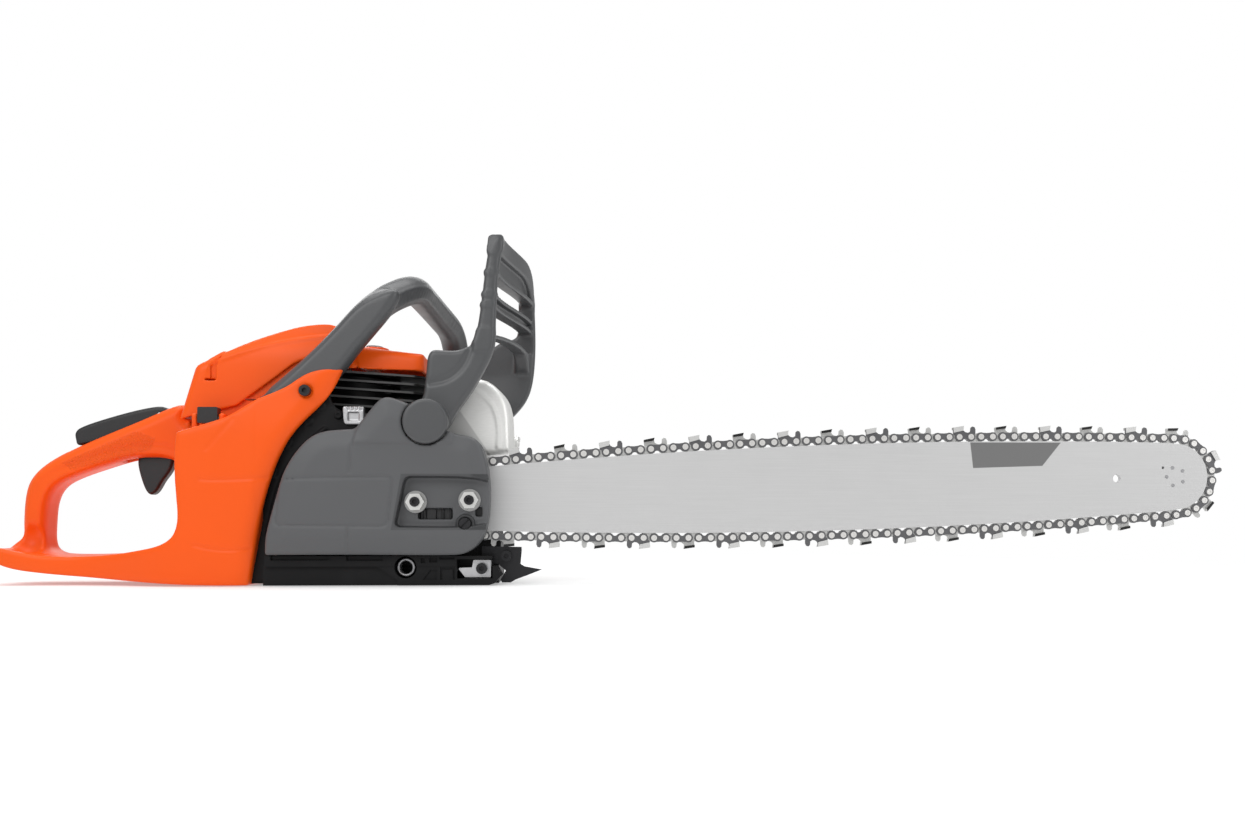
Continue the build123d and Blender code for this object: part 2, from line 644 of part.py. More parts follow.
def crankcase_left():
    """Flywheel-side half, with the shroud round the flywheel and the guard's left ear."""
    body = prism(case_profile(), case_split, case_left)
    body += block(-62, 126, case_split, case_left + 22, ground, 14)
    shroud = ring_y(0, crank_z, 58, 54.5, case_left, starter_in - 0.3)
    body += shroud & block(-60, 60, 60, 110, 8, 113)
    for x, z in starter_screws_at:
        body += rod_y(x, z, 6.0, case_left - 4, starter_in)
    body -= deck_cut(30, case_left + 10)
    body += slab([(50, 92), (80, 92), (83, 128), (77, 139), (64, 139), (58, 128)], 85, guard_left - 3.5)
    body += block(50, 80, case_left - 6, guard_left - 3.5, 90, 101)
    body -= rod_y(*oil_cap_at, 8.8, 55, 80)
    body -= rod_y(0, crank_z, chamber_radius, 30, 57)
    body -= rod_y(0, crank_z, 17.52, 50, 68.5) + rod_y(0, crank_z, 10.0, 60, 80)
    body -= block(64, 120, case_split + 3, case_left - 4, 18, 84)
    body -= barrel_mouth()
    body -= rod_y(*guard_pivot, pin_radius + 1.0, 60, 100)
    for x, z in case_screws_at:
        body -= rod_y(x, z, screw_radius + clearance, 40, 62)
    return body


def main_bearings():
    """Two ball bearings, drawn as plain rings, and the two shaft seals."""
    right = ring_y(0, crank_z, 17.5, main_radius + running_gap, 15.5, 26.5)
    left = ring_y(0, crank_z, 17.5, main_radius + running_gap, 57.2, 68.2)
    seal = ring_y(0, crank_z, 11.0, 6.0 + running_gap, 7, 13)
    seal_left = ring_y(0, crank_z, 9.8, main_radius + running_gap, 68.8, 71.8)
    return solids_of(right, left, seal, seal_left)


def bar_studs():
    """Two studs that hold the bar and its cover, with a hexagon socket in the outer end."""
    socket = prism(RegularPolygon(2.3, 6), -40, -36.5)
    studs = [rod_y(u, stud_low, stud_radius, -39, 21) - Pos(u, 0, stud_low) * socket for u in stud_at]
    return BAR * solids_of(*studs)


def bar_nuts():
    """Flanged hexagon nuts in the recess of the clutch cover."""
    nuts = []
    for u in stud_at:
        nut = rod_y(u, stud_low, 9.0, -31.6, -30)
        nut += Pos(u, 0, stud_low) * prism(RegularPolygon(7.5, 6), -37.5, -31.6)
        nuts.append(nut - rod_y(u, stud_low, stud_radius + clearance, -50, 0))
    return BAR * solids_of(*nuts)


def spike_bumper():
    """Toothed steel plate at the front of the crankcase."""
    body = slab([(112, 31), (145.3, 30.5), (145.5, 27.6), (144.5, 16), (147.9, 14), (162.5, 11.3), (150, 6.4),
                 (140.2, 2.8), (136.3, 0.4), (129, 0.4), (127.6, 3), (130.5, 7.4), (132, 10.5), (126, 16),
                 (112, 16)], case_face, case_face + 2.5)
    return body - rod_y(*bumper_screw, screw_radius + 0.2, 0, 20)


def chain_catcher():
    """Small bracket under the bar root that stops a broken chain."""
    body = slab([(94.2, 13.8), (105.8, 14.2), (107, 20.3), (121.2, 20.3), (121.2, 6.2), (100.2, 6.2)],
                -20, -8, 0.8)
    return body + block(98, 112, -8.2, -6, 7, 14) - rod_y(*catcher_screw, screw_radius + clearance, -21, -7)


def tensioner_screw():
    """Slotted adjusting screw across the clutch cover, with its bevel pinion."""
    x, z = tensioner_screw_at
    body = rod_y(x, z, tensioner_head, -38, -33) + rod_y(x, z, 2.6, -33, -12)
    body += Pos(x, -15, z) * Rot(90, 0, 0) * Cone(4.8, 2.8, 4)
    return body - Pos(x, 0, z) * Rot(0, -45, 0) * block(-6, 6, -39, -36.5, -0.7, 0.7)


def tensioner_block():
    """Sliding block with the pin that carries the bar."""
    body = block(-6, 6, -11, -3.4, -4, 4) + rod_y(0, 0, tensioner_pin, -4, 1.8)
    return BAR * Pos(tensioner_at[0], 0, tensioner_at[1]) * body


# ---------------------------------------------------------------- clutch cover and chain brake
def cover_face_outline():
    """Outline of the clutch cover, with the brake housing on its top."""
    return side_face([(-57.2, 31), (-55.3, 46.7), (-48.4, 71.7), (-43.7, 90.5), (-37.5, 101.5), (-22.2, 120.4),
                      (-16, 124.3), (13.5, 126.1), (28, 143), (35.3, 149.8), (47.7, 149.9), (62, 148),
                      (88.4, 122.5), (108.8, 120.2), (113.5, 115), (119.8, 94.2), (120.9, 78.3), (119.8, 54.6),
                      (118.3, 41.9), (112, 33.2), (102.5, 26.9), (94.6, 24.5), (-51.4, 24.5)])


def clutch_cover():
    """Shell over the clutch and bar root, open at the front for the bar, with the nut recess."""
    outline = cover_face_outline()
    body = prism(outline, cover_face, case_face)
    body -= prism(offset(outline, -wall), cover_face + wall, case_face + 1)
    body -= block(60, 130, -9, case_face + 1, 20, 119)
    body -= block(-70, 130, 0, case_face + 1, 20, 60) & block(50, 130, -9, 9, 20, 160)
    recess = slab([(54, 87.7), (130, 87), (130, 47.4), (45.3, 48.2)], cover_face - 1, -30)
    tray = slab([(51, 90), (119.5, 89.5), (118.6, 45), (42, 45.5)], cover_face, -27) & prism(outline, -50, 0)
    body += tray
    body -= recess
    body += BAR * block(52, 116, -28, -3.4, -6, 6)
    body -= BAR * block(tensioner_at[0] - 8, tensioner_at[0] + 8, -14, -3, -16, -6)
    for u in stud_at:
        body -= BAR * rod_y(u, stud_low, stud_radius + 0.3, -35, 0)
    x, z = tensioner_screw_at
    body -= rod_y(x, z, tensioner_head + 0.3, -45, -20)
    body -= block(62.8, 90.5, -32, -26, 54.7, 62.4)
    body -= block(109.5, 114.7, -32, -26, 56.3, 63.2)
    body -= rod_y(*guard_pivot, 18.6, -50, guard_right + 2)
    body -= rod_y(*guard_pivot, 19.5, guard_right - 0.6, guard_right + 12.6)
    body -= block(48, 130, guard_right - 0.6, guard_right + 12.6, 113, 160)
    body += rod_y(*guard_pivot, 8.0, guard_right + 12.6, 0)
    return body - rod_y(*guard_pivot, pin_radius + 0.01, guard_right, 10)


def brake_band():
    """Steel band round the drum, open where its two ends are held."""
    return ring_y(0, crank_z, 39.3, 38.3, -28, -14) - block(20, 60, -30, -10, crank_z + 8, crank_z + 18)


def brake_spring():
    """Closely wound spring over the drum that tightens the band."""
    return spring((-15, -20, 113.2), (1, 0, 0.03), 4.2, 0.8, 2.4, 11)


def spring(start, direction, radius, wire, pitch_length, turns):
    """Helical compression or tension spring."""
    helix = Helix(pitch=pitch_length, height=pitch_length * turns, radius=radius)
    coil = sweep(Plane(origin=helix @ 0, z_dir=helix % 0) * Circle(wire), path=helix, is_frenet=True)
    return Plane(origin=start, z_dir=direction).location * coil


def av_springs():
    """Vibration springs between the engine and the handle unit."""
    x, z = av_at
    springs = [spring((x, -24, z), (0, 1, 0), 6.5, 1.3, 4.4, 4.5),
               spring((-80, av_rear[0], av_rear[1]), (1, 0, 0), 6.5, 1.3, 4.1, 4)]
    return solids_of(*springs)


# ---------------------------------------------------------------- exhaust and intake
def muffler():
    """Folded sheet box with a pressed seam, an outlet and its flange to the cylinder."""
    box = slab([(66, 116), (72, 108), (124, 108), (135.5, 114), (135.5, 146), (131, 158), (121, 168.5),
                (112, 173), (73, 173), (66, 166)], 6.5, 84, 4)
    hollow = slab([(68, 117), (73, 110), (123, 110), (133.5, 115), (133.5, 145), (129, 157), (120, 166.5),
                   (112, 171), (74, 171), (68, 165)], 8.5, 82, 3)
    seam = slab([(64.5, 115.5), (71, 106.5), (125, 106.5), (137, 113), (137, 146.5), (132.5, 159), (122, 170),
                 (112, 174.5), (72.5, 174.5), (64.5, 167)], 43, 46, 4)
    neck = Pos(0, engine_y, 0) * ENGINE * block(36.3, 64, -19, 19, 50, 78)
    port = Pos(0, engine_y, 0) * ENGINE * block(34, 66, -14, 14, 55, 73)
    outlet = rod_from((128, 62, 124), (1, 0, -0.2), 7.5, 9.5)
    passage = rod_from((120, 62, 125.6), (1, 0, -0.2), 5.5, 24)
    return (box + seam + neck) - hollow - port + outlet - passage


def carburettor():
    """Diaphragm carburettor body with its bore, covers and adjusting screws."""
    body = block(-74, -46, 24, 60, 120, 150) - rod_from((-90, engine_y, intake_z), (1, 0, 0), 8.5, 60)
    body += block(-72, -48, 26, 58, 115, 120) + block(-72, -48, 26, 58, 150, 154)
    for y in (30, 37):
        body += rod_from((-60, 24, 140 + (y - 30) / 3), (0, -1, 0), 2.0, 12) & block(-80, 0, 0, 24, 100, 200)
    return body


def intake_boot():
    """Rubber duct from the carburettor to the inlet port."""
    start = (-46, engine_y, intake_z)
    outer = rod_from(start, (1, 0, 0), 13.0, 14.6) + rod_from(start, (1, 0, 0), 14.5, 3)
    return outer - rod_from((-48, engine_y, intake_z), (1, 0, 0), 8.5, 20)


def air_filter():
    """Pleated filter element on its elbow behind the carburettor."""
    body = block(-116, -78, 14, 78, 154, 184)
    for index in range(8):
        y = 18 + 7.4 * index
        body -= block(-120, -76, y, y + 3.4, 178, 190)
    return body + block(-92, -74.2, 28, 56, 124, 156)


# ---------------------------------------------------------------- handle unit and covers
def tank_handle_unit():
    """Fuel tank, side panel and rear handle in one moulding."""
    tank_outline = [(-131, 0), (-129, 92.9), (-131, 112), (-66, 112), (-66, 0)]
    tank = slab(tank_outline, tank_right, tank_left)
    cavity = block(-125, -88, tank_right + 8, tank_left - 16, 5, 104)
    cavity += block(-89, -70, tank_right + 8, 70, 5, 104)
    panel = slab([(-66, 3), (-62.5, 3.2), (-61.5, 22), (-58.9, 40), (-54.5, 64), (-47, 88), (-38, 106),
                  (-20, 128), (-14, 134), (-4.6, 144.1), (-3, 153.8), (4.9, 174), (-7, 172.5), (-26.8, 167.3),
                  (-38.7, 161.6), (-47.4, 152.6), (-65.6, 150.9), (-84.5, 138.8), (-129, 128), (-129, 100),
                  (-90, 40)], tank_right, tank_right + 5)
    outer = [(-112, 92), (-112, 2), (-148.6, 2.5), (-187.5, 5), (-241, 9), (-268, 12), (-282, 18),
             (-289.2, 27),
             (-284.3, 33.6), (-275.9, 38), (-276.8, 53.3), (-275.1, 74.7), (-270.9, 87.6), (-259.3, 99.7),
             (-234.2, 114.3), (-200.7, 130), (-175.4, 139.6), (-149.3, 152), (-141, 150), (-140.5, 136),
             (-116, 133)]
    opening = [(-153.5, 36), (-146, 60), (-142, 84), (-144, 98), (-154, 106), (-183.9, 105.9), (-209.1, 98.1),
               (-234.2, 89.4), (-249.3, 81.6), (-255.1, 70.5), (-256.8, 53.3), (-257.6, 33), (-250, 26),
               (-200.7, 24.5), (-167, 27)]
    loop = prism(side_face(outer) - side_face(opening), handle_y - handle_half, handle_y + handle_half)
    inner_wall = slab([(-129, 110), (-127, 137), (-92, 151), (-66, 160), (-66, 110)],
                      inner_wall_y, inner_wall_y + 3)
    body = tank + panel + loop + handle_foot() + latch_posts() + inner_wall - cavity
    body -= trigger_room() + lockout_room()
    body -= rod_y(*fuel_cap_at, 14.0, tank_left - 12, tank_left + 1)
    body -= rod_y(*fuel_cap_at, 9.0, tank_left - 30, tank_left + 1)
    for x, z in (trigger_pivot, lockout_pivot):
        body -= rod_y(x, z, pin_radius + 0.01, handle_y - 12, handle_y + 12)
    body -= rod_y(*handle_screw, screw_radius + clearance, tank_right - 5, tank_right + 20)
    body -= rod_y(*handle_screw, screw_head + 0.4, tank_right - 5, tank_right + 2)
    return body - rod_from((-82, av_rear[0], av_rear[1]), (1, 0, 0), 9.0, 20)


def handle_foot():
    """Lower branch of the handle, as wide as the tank at its front and narrow at its heel."""
    side = slab([(-118, 3), (-148.6, 3), (-187.5, 5), (-241, 9), (-268, 12), (-278, 18), (-278, 24),
                 (-262, 23), (-200.7, 20), (-167, 20), (-148, 30), (-118, 60)],
                tank_right, handle_y + handle_half - 1)
    return side & plan([(-110, -30), (-140, -27), (-170, -18), (-205, -9), (-262, -6), (-272, 0), (-280, 12),
                        (-280, 60), (-110, 60)], 0, 70)


def latch_posts():
    """Two lugs that carry the pin of the cover latch."""
    x, z = latch_pivot
    posts = block(x - 9, x - 4.6, -17, -9, 111, z - 1) + block(x + 12.7, x + 17, -17, -9, 111, z - 1)
    return posts - rod_from((x - 12, latch_pin_y, z - 4.8), (1, 0, 0), 1.52, 40)


def trigger_room():
    """Slot in the grip that the trigger swings up into."""
    return slab([(-200, 80), (-196, 112), (-180, 124), (-150, 128), (-146, 110), (-149, 80)],
                handle_y - 7.0, handle_y + 7.0) & block(-220, -140, 0, 80, 98, 130)


def lockout_room():
    """Pocket along the top of the grip under the lockout lever."""
    return slab([(-240, 108), (-238, 130), (-150, 170), (-150, 134), (-176, 127), (-206, 115)],
                handle_y - 9.0, handle_y + 9.0)


def throttle_trigger():
    """Hooked finger lever on its pin."""
    body = slab([(-166, 118), (-152, 117), (-153.5, 104), (-157, 94), (-164.5, 85), (-168.7, 76.6),
                 (-172.9, 74.5), (-176.2, 77.5), (-181.3, 89.5), (-184.5, 103), (-182, 109), (-172, 112)],
                handle_y - 6.3, handle_y + 6.3)
    return body - rod_y(*trigger_pivot, pin_radius + running_gap, 0, 80)


def throttle_lockout():
    """Palm lever on top of the grip."""
    body = slab([(-235.9, 127.5), (-234, 116.8), (-206, 121), (-176, 131.5), (-165, 136), (-158.5, 141),
                 (-158, 149.5), (-166, 151.5), (-192.3, 145.6), (-231, 133.3)], handle_y - 8.2, handle_y + 8.2)
    return body - rod_y(*lockout_pivot, pin_radius + running_gap, 0, 80)


def lever_pins():
    """Pins of the trigger, the lockout lever and the cover latch."""
    pins = [rod_y(*place, pin_radius, handle_y - 11.5, handle_y + 11.5)
            for place in (trigger_pivot, lockout_pivot)]
    x, z = latch_pivot
    pins.append(rod_from((x - 8.5, latch_pin_y, z - 4.8), (1, 0, 0), 1.5, 25))
    return solids_of(*pins)


def front_handle():
    """Bent tube across the saw, with the flat foot that is screwed to the side panel."""
    route = [(-48, -12, 154), (-6, -12, 191), (28, -11, 232), (52, 24, 253), (58, 92, 251), (74, 148, 236),
             (77, 163, 190), (58, 161, 90), (36, 156, 26), (22, 130, 9.5), (20, 100, 9.5)]
    radii = [55, 40, 28, 60, 30, 36, 70, 60, 22]
    body = tube(route, radii, front_tube)
    foot = slab([(-92, 152), (-63.8, 152.4), (-47.9, 163), (-36, 176), (-18, 164), (-30, 155.5), (-47.4, 154),
                 (-65.6, 152.2)], tank_right + 5, -8)
    body += foot
    return body & block(-100, 120, -40, 200, ground, 300)


def top_cover():
    """Shell over the air filter and the cylinder."""
    rear = [(-139.4, 136.8), (-125.5, 184.6), (-110.8, 191.5), (-73.7, 207.8), (-40.6, 217.4), (-11.6, 219.4),
            (-3.3, 201), (13.4, 198.5), (63.6, 193.1), (63.6, 178.5), (-3, 180), (-36, 187), (-60, 168),
            (-91.8, 153), (-128, 137)]
    body = slab(rear, 2, 100)
    inner = [(-134, 138), (-123, 182.4), (-110, 189), (-73, 205), (-40.5, 214.6), (-14, 216.4), (-7, 199),
             (13, 195.6), (60.6, 190.4), (60.6, 170), (-40, 150), (-100, 120)]
    body -= slab(inner, 2 + wall, 100 - wall)
    body += decompression_place() * Pos(0, 0, 24.5) * Cylinder(12.5, 7)
    return body - decompression_place() * Pos(0, 0, 20) * Cylinder(10, 40)


def cover_latch():
    """Snap lever at the rear edge of the top cover."""
    x, z = latch_pivot
    body = slab([(x - 4, z + 4), (x + 12, z + 4), (x + 12, z - 9), (x - 4, z - 9)], -17.6, -8.8, 1.0)
    return body - rod_from((x - 12, latch_pin_y, z - 4.8), (1, 0, 0), 1.5 + running_gap, 40)


def case_screws():
    """Hex-socket screws of the housings: one size, all over the saw."""
    screws = [socket_screw((handle_screw[0], tank_right + 2, handle_screw[1]), (0, 1, 0), 14)]
    screws += [place * socket_screw((0, 0, 0), (0, 0, -1), 12) for place in cylinder_screw_places()]
    screws += [socket_screw((bumper_screw[0], case_face, bumper_screw[1]), (0, 1, 0), 9)]
    screws += [socket_screw((catcher_screw[0], -20, catcher_screw[1]), (0, 1, 0), 11)]
    screws += [socket_screw((x, starter_out - 4, z), (0, -1, 0), 36) for x, z in starter_screws_at]
    screws += [rod_y(x, z, screw_radius, 22, 58) for x, z in case_screws_at]
    return solids_of(*screws)


# ---------------------------------------------------------------- starter side
def starter_housing():
    """Shell over the flywheel and recoil starter, with cooling slots, pulley post and rope eye."""
    body = slab(starter_outline, starter_in, starter_out, 8)
    body -= prism(offset(side_face(starter_outline, 8), -wall), starter_in - 1, starter_out - wall)
    for x, z in starter_screws_at:
        body += rod_y(x, z, 6.2, starter_in, starter_out - 1)
        body -= rod_y(x, z, screw_head + 0.4, starter_out - 4, starter_out + 1)
        body -= rod_y(x, z, screw_radius + 0.2, 90, 140)
    body += rod_y(0, crank_z, 5.0, 106, starter_out)
    for index in range(9):
        body -= block(-44 + 11 * index, -38 + 11 * index, starter_out - 5, starter_out + 1, 18, 26)
        body -= block(-44 + 11 * index, -38 + 11 * index, starter_out - 5, starter_out + 1, 108, 116)
    body -= rod_from((rope_x, rope_y, 120), (0, 0, 1), 4.5, 30)
    return body


def starter_pulley():
    """Grooved wheel that the starter rope winds on."""
    groove = ring_y(0, crank_z, 31, 24.5, 107, 111)
    body = rod_y(0, crank_z, 30, 105.5, 112.5) - groove
    return body - rod_y(0, crank_z, 5.0 + running_gap, 100, 120)


def recoil_spring():
    """Flat spiral spring between the pulley and the housing."""
    outer, inner = [], []
    turns = 5
    for step in range(turns * 16 + 1):
        angle = 2 * pi * step / 16
        r = 8.0 + 3.2 * angle / (2 * pi)
        outer.append(((r + 0.4) * cos(angle), crank_z + (r + 0.4) * sin(angle)))
        inner.append(((r - 0.4) * cos(angle), crank_z + (r - 0.4) * sin(angle)))
    return prism(make_face(Polyline(*outer, *reversed(inner), close=True)), 114, 124)


def starter_rope():
    """Straight stretch of the rope from the pulley's side up into the grip."""
    return rod_from((rope_x, rope_y, crank_z - 40), (0, 0, 1), 1.75, 140 - crank_z + 54)


def starter_grip():
    """T-shaped pull grip that sits on the housing."""
    body = Pos(rope_x, rope_y, 147) * extrude(RectangleRounded(46, 16, 7), amount=14)
    body += Pos(rope_x, rope_y, 138) * extrude(Circle(6.5), amount=10)
    return body - rod_from((rope_x, rope_y, 130), (0, 0, 1), 1.8, 25)


def filler_cap(x, z, y_low):
    """Round cap with a grip rib and the plug that fills the neck."""
    body = rod_y(x, z, 13.4, y_low - 4, y_low + 3) + rod_y(x, z, 8.6, y_low - 12, y_low - 3)
    return body + block(x - 11, x + 11, y_low + 2, y_low + 9, z - 2.2, z + 2.2)


def choke_lever():
    """Pull knob of the choke and stop control at the left rear."""
    body = rod_from((-134, 84, 130), (-1, 0, 0), 4.0, 12) + block(-150, -146, 76, 92, 125, 135)
    return body + rod_from((-120, 84, 130), (-1, 0, 0), 2.4, 16)


# ---------------------------------------------------------------- hand guard
def hand_guard():
    """Ladder-like guard on two arms, swinging about the brake pivot, with a round cap over it."""
    px, pz = guard_pivot
    right = slab([(px - 14, pz - 10), (px + 4, pz - 17), (px + 17, pz - 4), (95.7, 143.8), (109.9, 164.2),
                  (117.1, 176.3), (126, 199), (125.4, 212), (127.2, 254), (129, 268), (132, 283), (127, 285.6),
                  (123.4, 281), (120.5, 275.3), (117.5, 262.2), (115.2, 240.8), (112.2, 217), (108.7, 200.3),
                  (105.7, 193), (91.5, 190), (73.9, 191.4), (70.5, 184.5), (69, 155), (px - 16, pz + 6)],
                 guard_right, guard_right + 12, 1.5)
    left = slab([(px - 9, pz - 2), (px, pz - 10), (px + 12, pz - 6), (120, 134), (134.6, 150), (146.2, 163.4),
                 (152.4, 180), (155, 209), (154.4, 243), (152.5, 263), (148, 273), (141, 275), (139.5, 262),
                 (139.5, 215), (134, 209), (118, 207), (104, 196), (94, 180), (84, 160), (px + 2, pz + 10)],
                guard_left, guard_left + 6, 1.5)
    body = right + left
    for near, far, height in guard_bars:
        body += guard_bar(near, far, height)
    cap = rod_y(px, pz, 18.0, cover_face - 3, guard_right + 1)
    return body + cap - rod_y(px, pz, pin_radius + running_gap, guard_right - 2, guard_left + 20)


def guard_bar(near, far, height):
    """Cross bar of the guard between its two posts."""
    start = (near[0], guard_right + 11.5, near[1])
    end = (far[0], guard_left + 0.5, far[1])
    run = Vector(*end) - Vector(*start)
    section = Plane(origin=start, x_dir=(1, 0, 0), z_dir=(0, 1, 0)) * Rectangle(5.5, height)
    return extrude(section, amount=run.length, dir=run.normalized())


def guard_pivots():
    """Pins that the guard's two arms turn on, with the left one's head."""
    px, pz = guard_pivot
    right = rod_y(px, pz, pin_radius, guard_right - 1.5, -8)
    left = rod_y(px, pz, pin_radius, 85, guard_left + 7)
    left += rod_y(px, pz, 4.5, guard_left + 6.3, guard_left + 8.5)
    return solids_of(right, left)


# ---------------------------------------------------------------- write every node
def all_nodes():
    nodes = {
        "crankcase_right": crankcase_right(), "crankcase_left": crankcase_left(),
        "main_bearings": main_bearings(), "crankshaft": crankshaft(), "connecting_rod": connecting_rod(),
        "piston": piston(), "piston_rings": piston_rings(), "wrist_pin": wrist_pin(), "cylinder": cylinder(),
        "spark_plug": spark_plug(), "ignition_lead": ignition_lead(), "ignition_module": ignition_module(),
        "muffler": muffler(), "carburettor": carburettor(), "intake_boot": intake_boot(),
        "air_filter": air_filter(), "decompression_valve": decompression_valve(),
        "decompression_button": decompression_button(), "flywheel": flywheel(), "flywheel_nut": flywheel_nut(),
        "starter_housing": starter_housing(), "starter_pulley": starter_pulley(),
        "recoil_spring": recoil_spring(), "starter_rope": starter_rope(), "starter_grip": starter_grip(),
        "fuel_cap": filler_cap(*fuel_cap_at, tank_left - 4), "oil_cap": filler_cap(*oil_cap_at, oil_cap_y),
        "tank_handle_unit": tank_handle_unit(), "front_handle": front_handle(), "top_cover": top_cover(),
        "cover_latch": cover_latch(), "hand_guard": hand_guard(), "guard_pivots": guard_pivots(),
        "clutch_cover": clutch_cover(), "brake_band": brake_band(), "brake_spring": brake_spring(),
        "clutch_drum": clutch_drum(), "drum_bearing": drum_bearing(), "clutch_hub": clutch_hub(),
        "clutch_shoes": clutch_shoes(), "clutch_spring": clutch_spring(), "oil_pump": oil_pump(),
        "bar_studs": bar_studs(), "bar_nuts": bar_nuts(), "guide_bar": guide_bar(),
        "nose_sprocket": nose_sprocket(), "spike_bumper": spike_bumper(), "chain_catcher": chain_catcher(),
        "tensioner_screw": tensioner_screw(), "tensioner_block": tensioner_block(),
        "throttle_trigger": throttle_trigger(), "throttle_lockout": throttle_lockout(),
        "lever_pins": lever_pins(), "choke_lever": choke_lever(), "av_springs": av_springs(),
        "case_screws": case_screws(),
    }
    for name in ("crankcase_right", "crankcase_left", "front_handle"):
        nodes[name] = nodes[name] - nodes["case_screws"]
    nodes.update(chain_nodes())
    return nodes


os.makedirs("parts", exist_ok=True)
for name, shape in all_nodes().items():
    export_step(shape, f"parts/{name}.step")
print("nose centre", round(nose_at, 2), "bar length", round(nose_at + nose_radius - bar_tail, 1))
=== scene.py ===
import json
import math

import bpy
import numpy as np
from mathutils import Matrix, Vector


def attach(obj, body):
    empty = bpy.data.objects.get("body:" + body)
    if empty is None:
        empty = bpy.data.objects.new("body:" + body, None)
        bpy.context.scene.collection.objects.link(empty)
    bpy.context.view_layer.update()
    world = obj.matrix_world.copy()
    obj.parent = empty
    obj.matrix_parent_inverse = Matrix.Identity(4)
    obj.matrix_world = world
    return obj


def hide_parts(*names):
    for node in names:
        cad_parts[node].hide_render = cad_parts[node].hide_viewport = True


# Looks of the chainsaw: metres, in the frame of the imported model, +X along the bar, +Z up.
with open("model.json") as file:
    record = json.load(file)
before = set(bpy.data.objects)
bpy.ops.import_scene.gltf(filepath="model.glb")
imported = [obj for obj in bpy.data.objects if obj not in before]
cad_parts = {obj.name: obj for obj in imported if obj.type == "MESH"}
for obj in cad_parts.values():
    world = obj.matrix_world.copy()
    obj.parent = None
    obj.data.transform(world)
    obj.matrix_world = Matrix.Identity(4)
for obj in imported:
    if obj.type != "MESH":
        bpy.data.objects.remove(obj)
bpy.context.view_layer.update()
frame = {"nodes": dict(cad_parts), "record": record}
nodes = frame["nodes"]
scene = bpy.context.scene
MM = 0.001

# ---------------------------------------------------------------- camera, floor and light
FRAME_ASPECT_WIDTH = 1245
FOCAL_IN_WIDTHS = 1050 / FRAME_ASPECT_WIDTH
SENSOR = 36.0
CAMERA_PLACE = (0.180, -0.888, 0.049)
CAMERA_YAW = math.radians(-3.27)
HORIZON_SHIFT = 0.0884


def make_camera():
    data = bpy.data.cameras.new("camera")
    data.sensor_width = SENSOR
    data.lens = SENSOR * FOCAL_IN_WIDTHS
    data.shift_y = HORIZON_SHIFT
    data.clip_start = 0.01
    camera = bpy.data.objects.new("camera", data)
    camera.location = CAMERA_PLACE
    camera.rotation_euler = (math.pi / 2, 0, CAMERA_YAW)
    scene.collection.objects.link(camera)
    scene.camera = camera


def area_light(name, place, target, size, power):
    data = bpy.data.lights.new(name, "AREA")
    data.shape = "RECTANGLE"
    data.size, data.size_y = size
    data.energy = power
    light = bpy.data.objects.new(name, data)
    light.location = place
    light.rotation_euler = (Vector(target) - Vector(place)).to_track_quat("-Z", "Y").to_euler()
    scene.collection.objects.link(light)


def floor_look():
    """White paper sweep: matt near the saw, and as bright as the backdrop further out."""
    paint = bpy.data.materials.new("floor_white")
    paint.use_nodes = True
    tree = paint.node_tree
    shader = tree.nodes["Principled BSDF"]
    shader.inputs["Base Color"].default_value = (0.93, 0.93, 0.93, 1)
    shader.inputs["Roughness"].default_value = 0.7
    shader.inputs["Specular IOR Level"].default_value = 0.1
    coords = tree.nodes.new("ShaderNodeTexCoord")
    length = tree.nodes.new("ShaderNodeVectorMath")
    length.operation = "LENGTH"
    fade = tree.nodes.new("ShaderNodeMapRange")
    fade.interpolation_type = "SMOOTHSTEP"
    fade.inputs["From Min"].default_value = 0.45
    fade.inputs["From Max"].default_value = 1.0
    fade.inputs["To Min"].default_value = 0.3
    glow = tree.nodes.new("ShaderNodeEmission")
    mix = tree.nodes.new("ShaderNodeMixShader")
    tree.links.new(coords.outputs["Object"], length.inputs[0])
    tree.links.new(length.outputs["Value"], fade.inputs["Value"])
    tree.links.new(fade.outputs[0], mix.inputs["Fac"])
    tree.links.new(shader.outputs[0], mix.inputs[1])
    tree.links.new(glow.outputs[0], mix.inputs[2])
    tree.links.new(mix.outputs[0], tree.nodes["Material Output"].inputs["Surface"])
    return paint


def make_stage():
    bpy.ops.mesh.primitive_plane_add(size=14, location=(0.1, 0, -0.0004))
    floor = bpy.context.object
    floor.name = "floor"
    floor.data.materials.append(floor_look())
    world = bpy.data.worlds.new("studio")
    scene.world = world
    world.use_nodes = True
    tree = world.node_tree
    back = tree.nodes["Background"]
    back.inputs["Color"].default_value = (1, 1, 1, 1)
    path = tree.nodes.new("ShaderNodeLightPath")
    strength = tree.nodes.new("ShaderNodeMapRange")
    strength.inputs["To Min"].default_value = 0.5
    strength.inputs["To Max"].default_value = 1.0
    tree.links.new(path.outputs["Is Camera Ray"], strength.inputs["Value"])
    tree.links.new(strength.outputs[0], back.inputs["Strength"])
    area_light("key", (-0.7, -1.7, 1.2), (0.1, 0, 0.1), (1.4, 1.0), 15)
    area_light("side", (1.9, -1.2, 0.8), (0.2, 0, 0.1), (0.9, 1.2), 8)
    area_light("top", (0.2, 0.1, 2.1), (0.2, 0, 0), (2.6, 1.4), 36)
    area_light("back", (-0.3, 1.6, 1.1), (0.0, 0, 0.15), (1.6, 0.8), 9)
    scene.view_settings.view_transform = "Standard"
    scene.view_settings.look = "None"


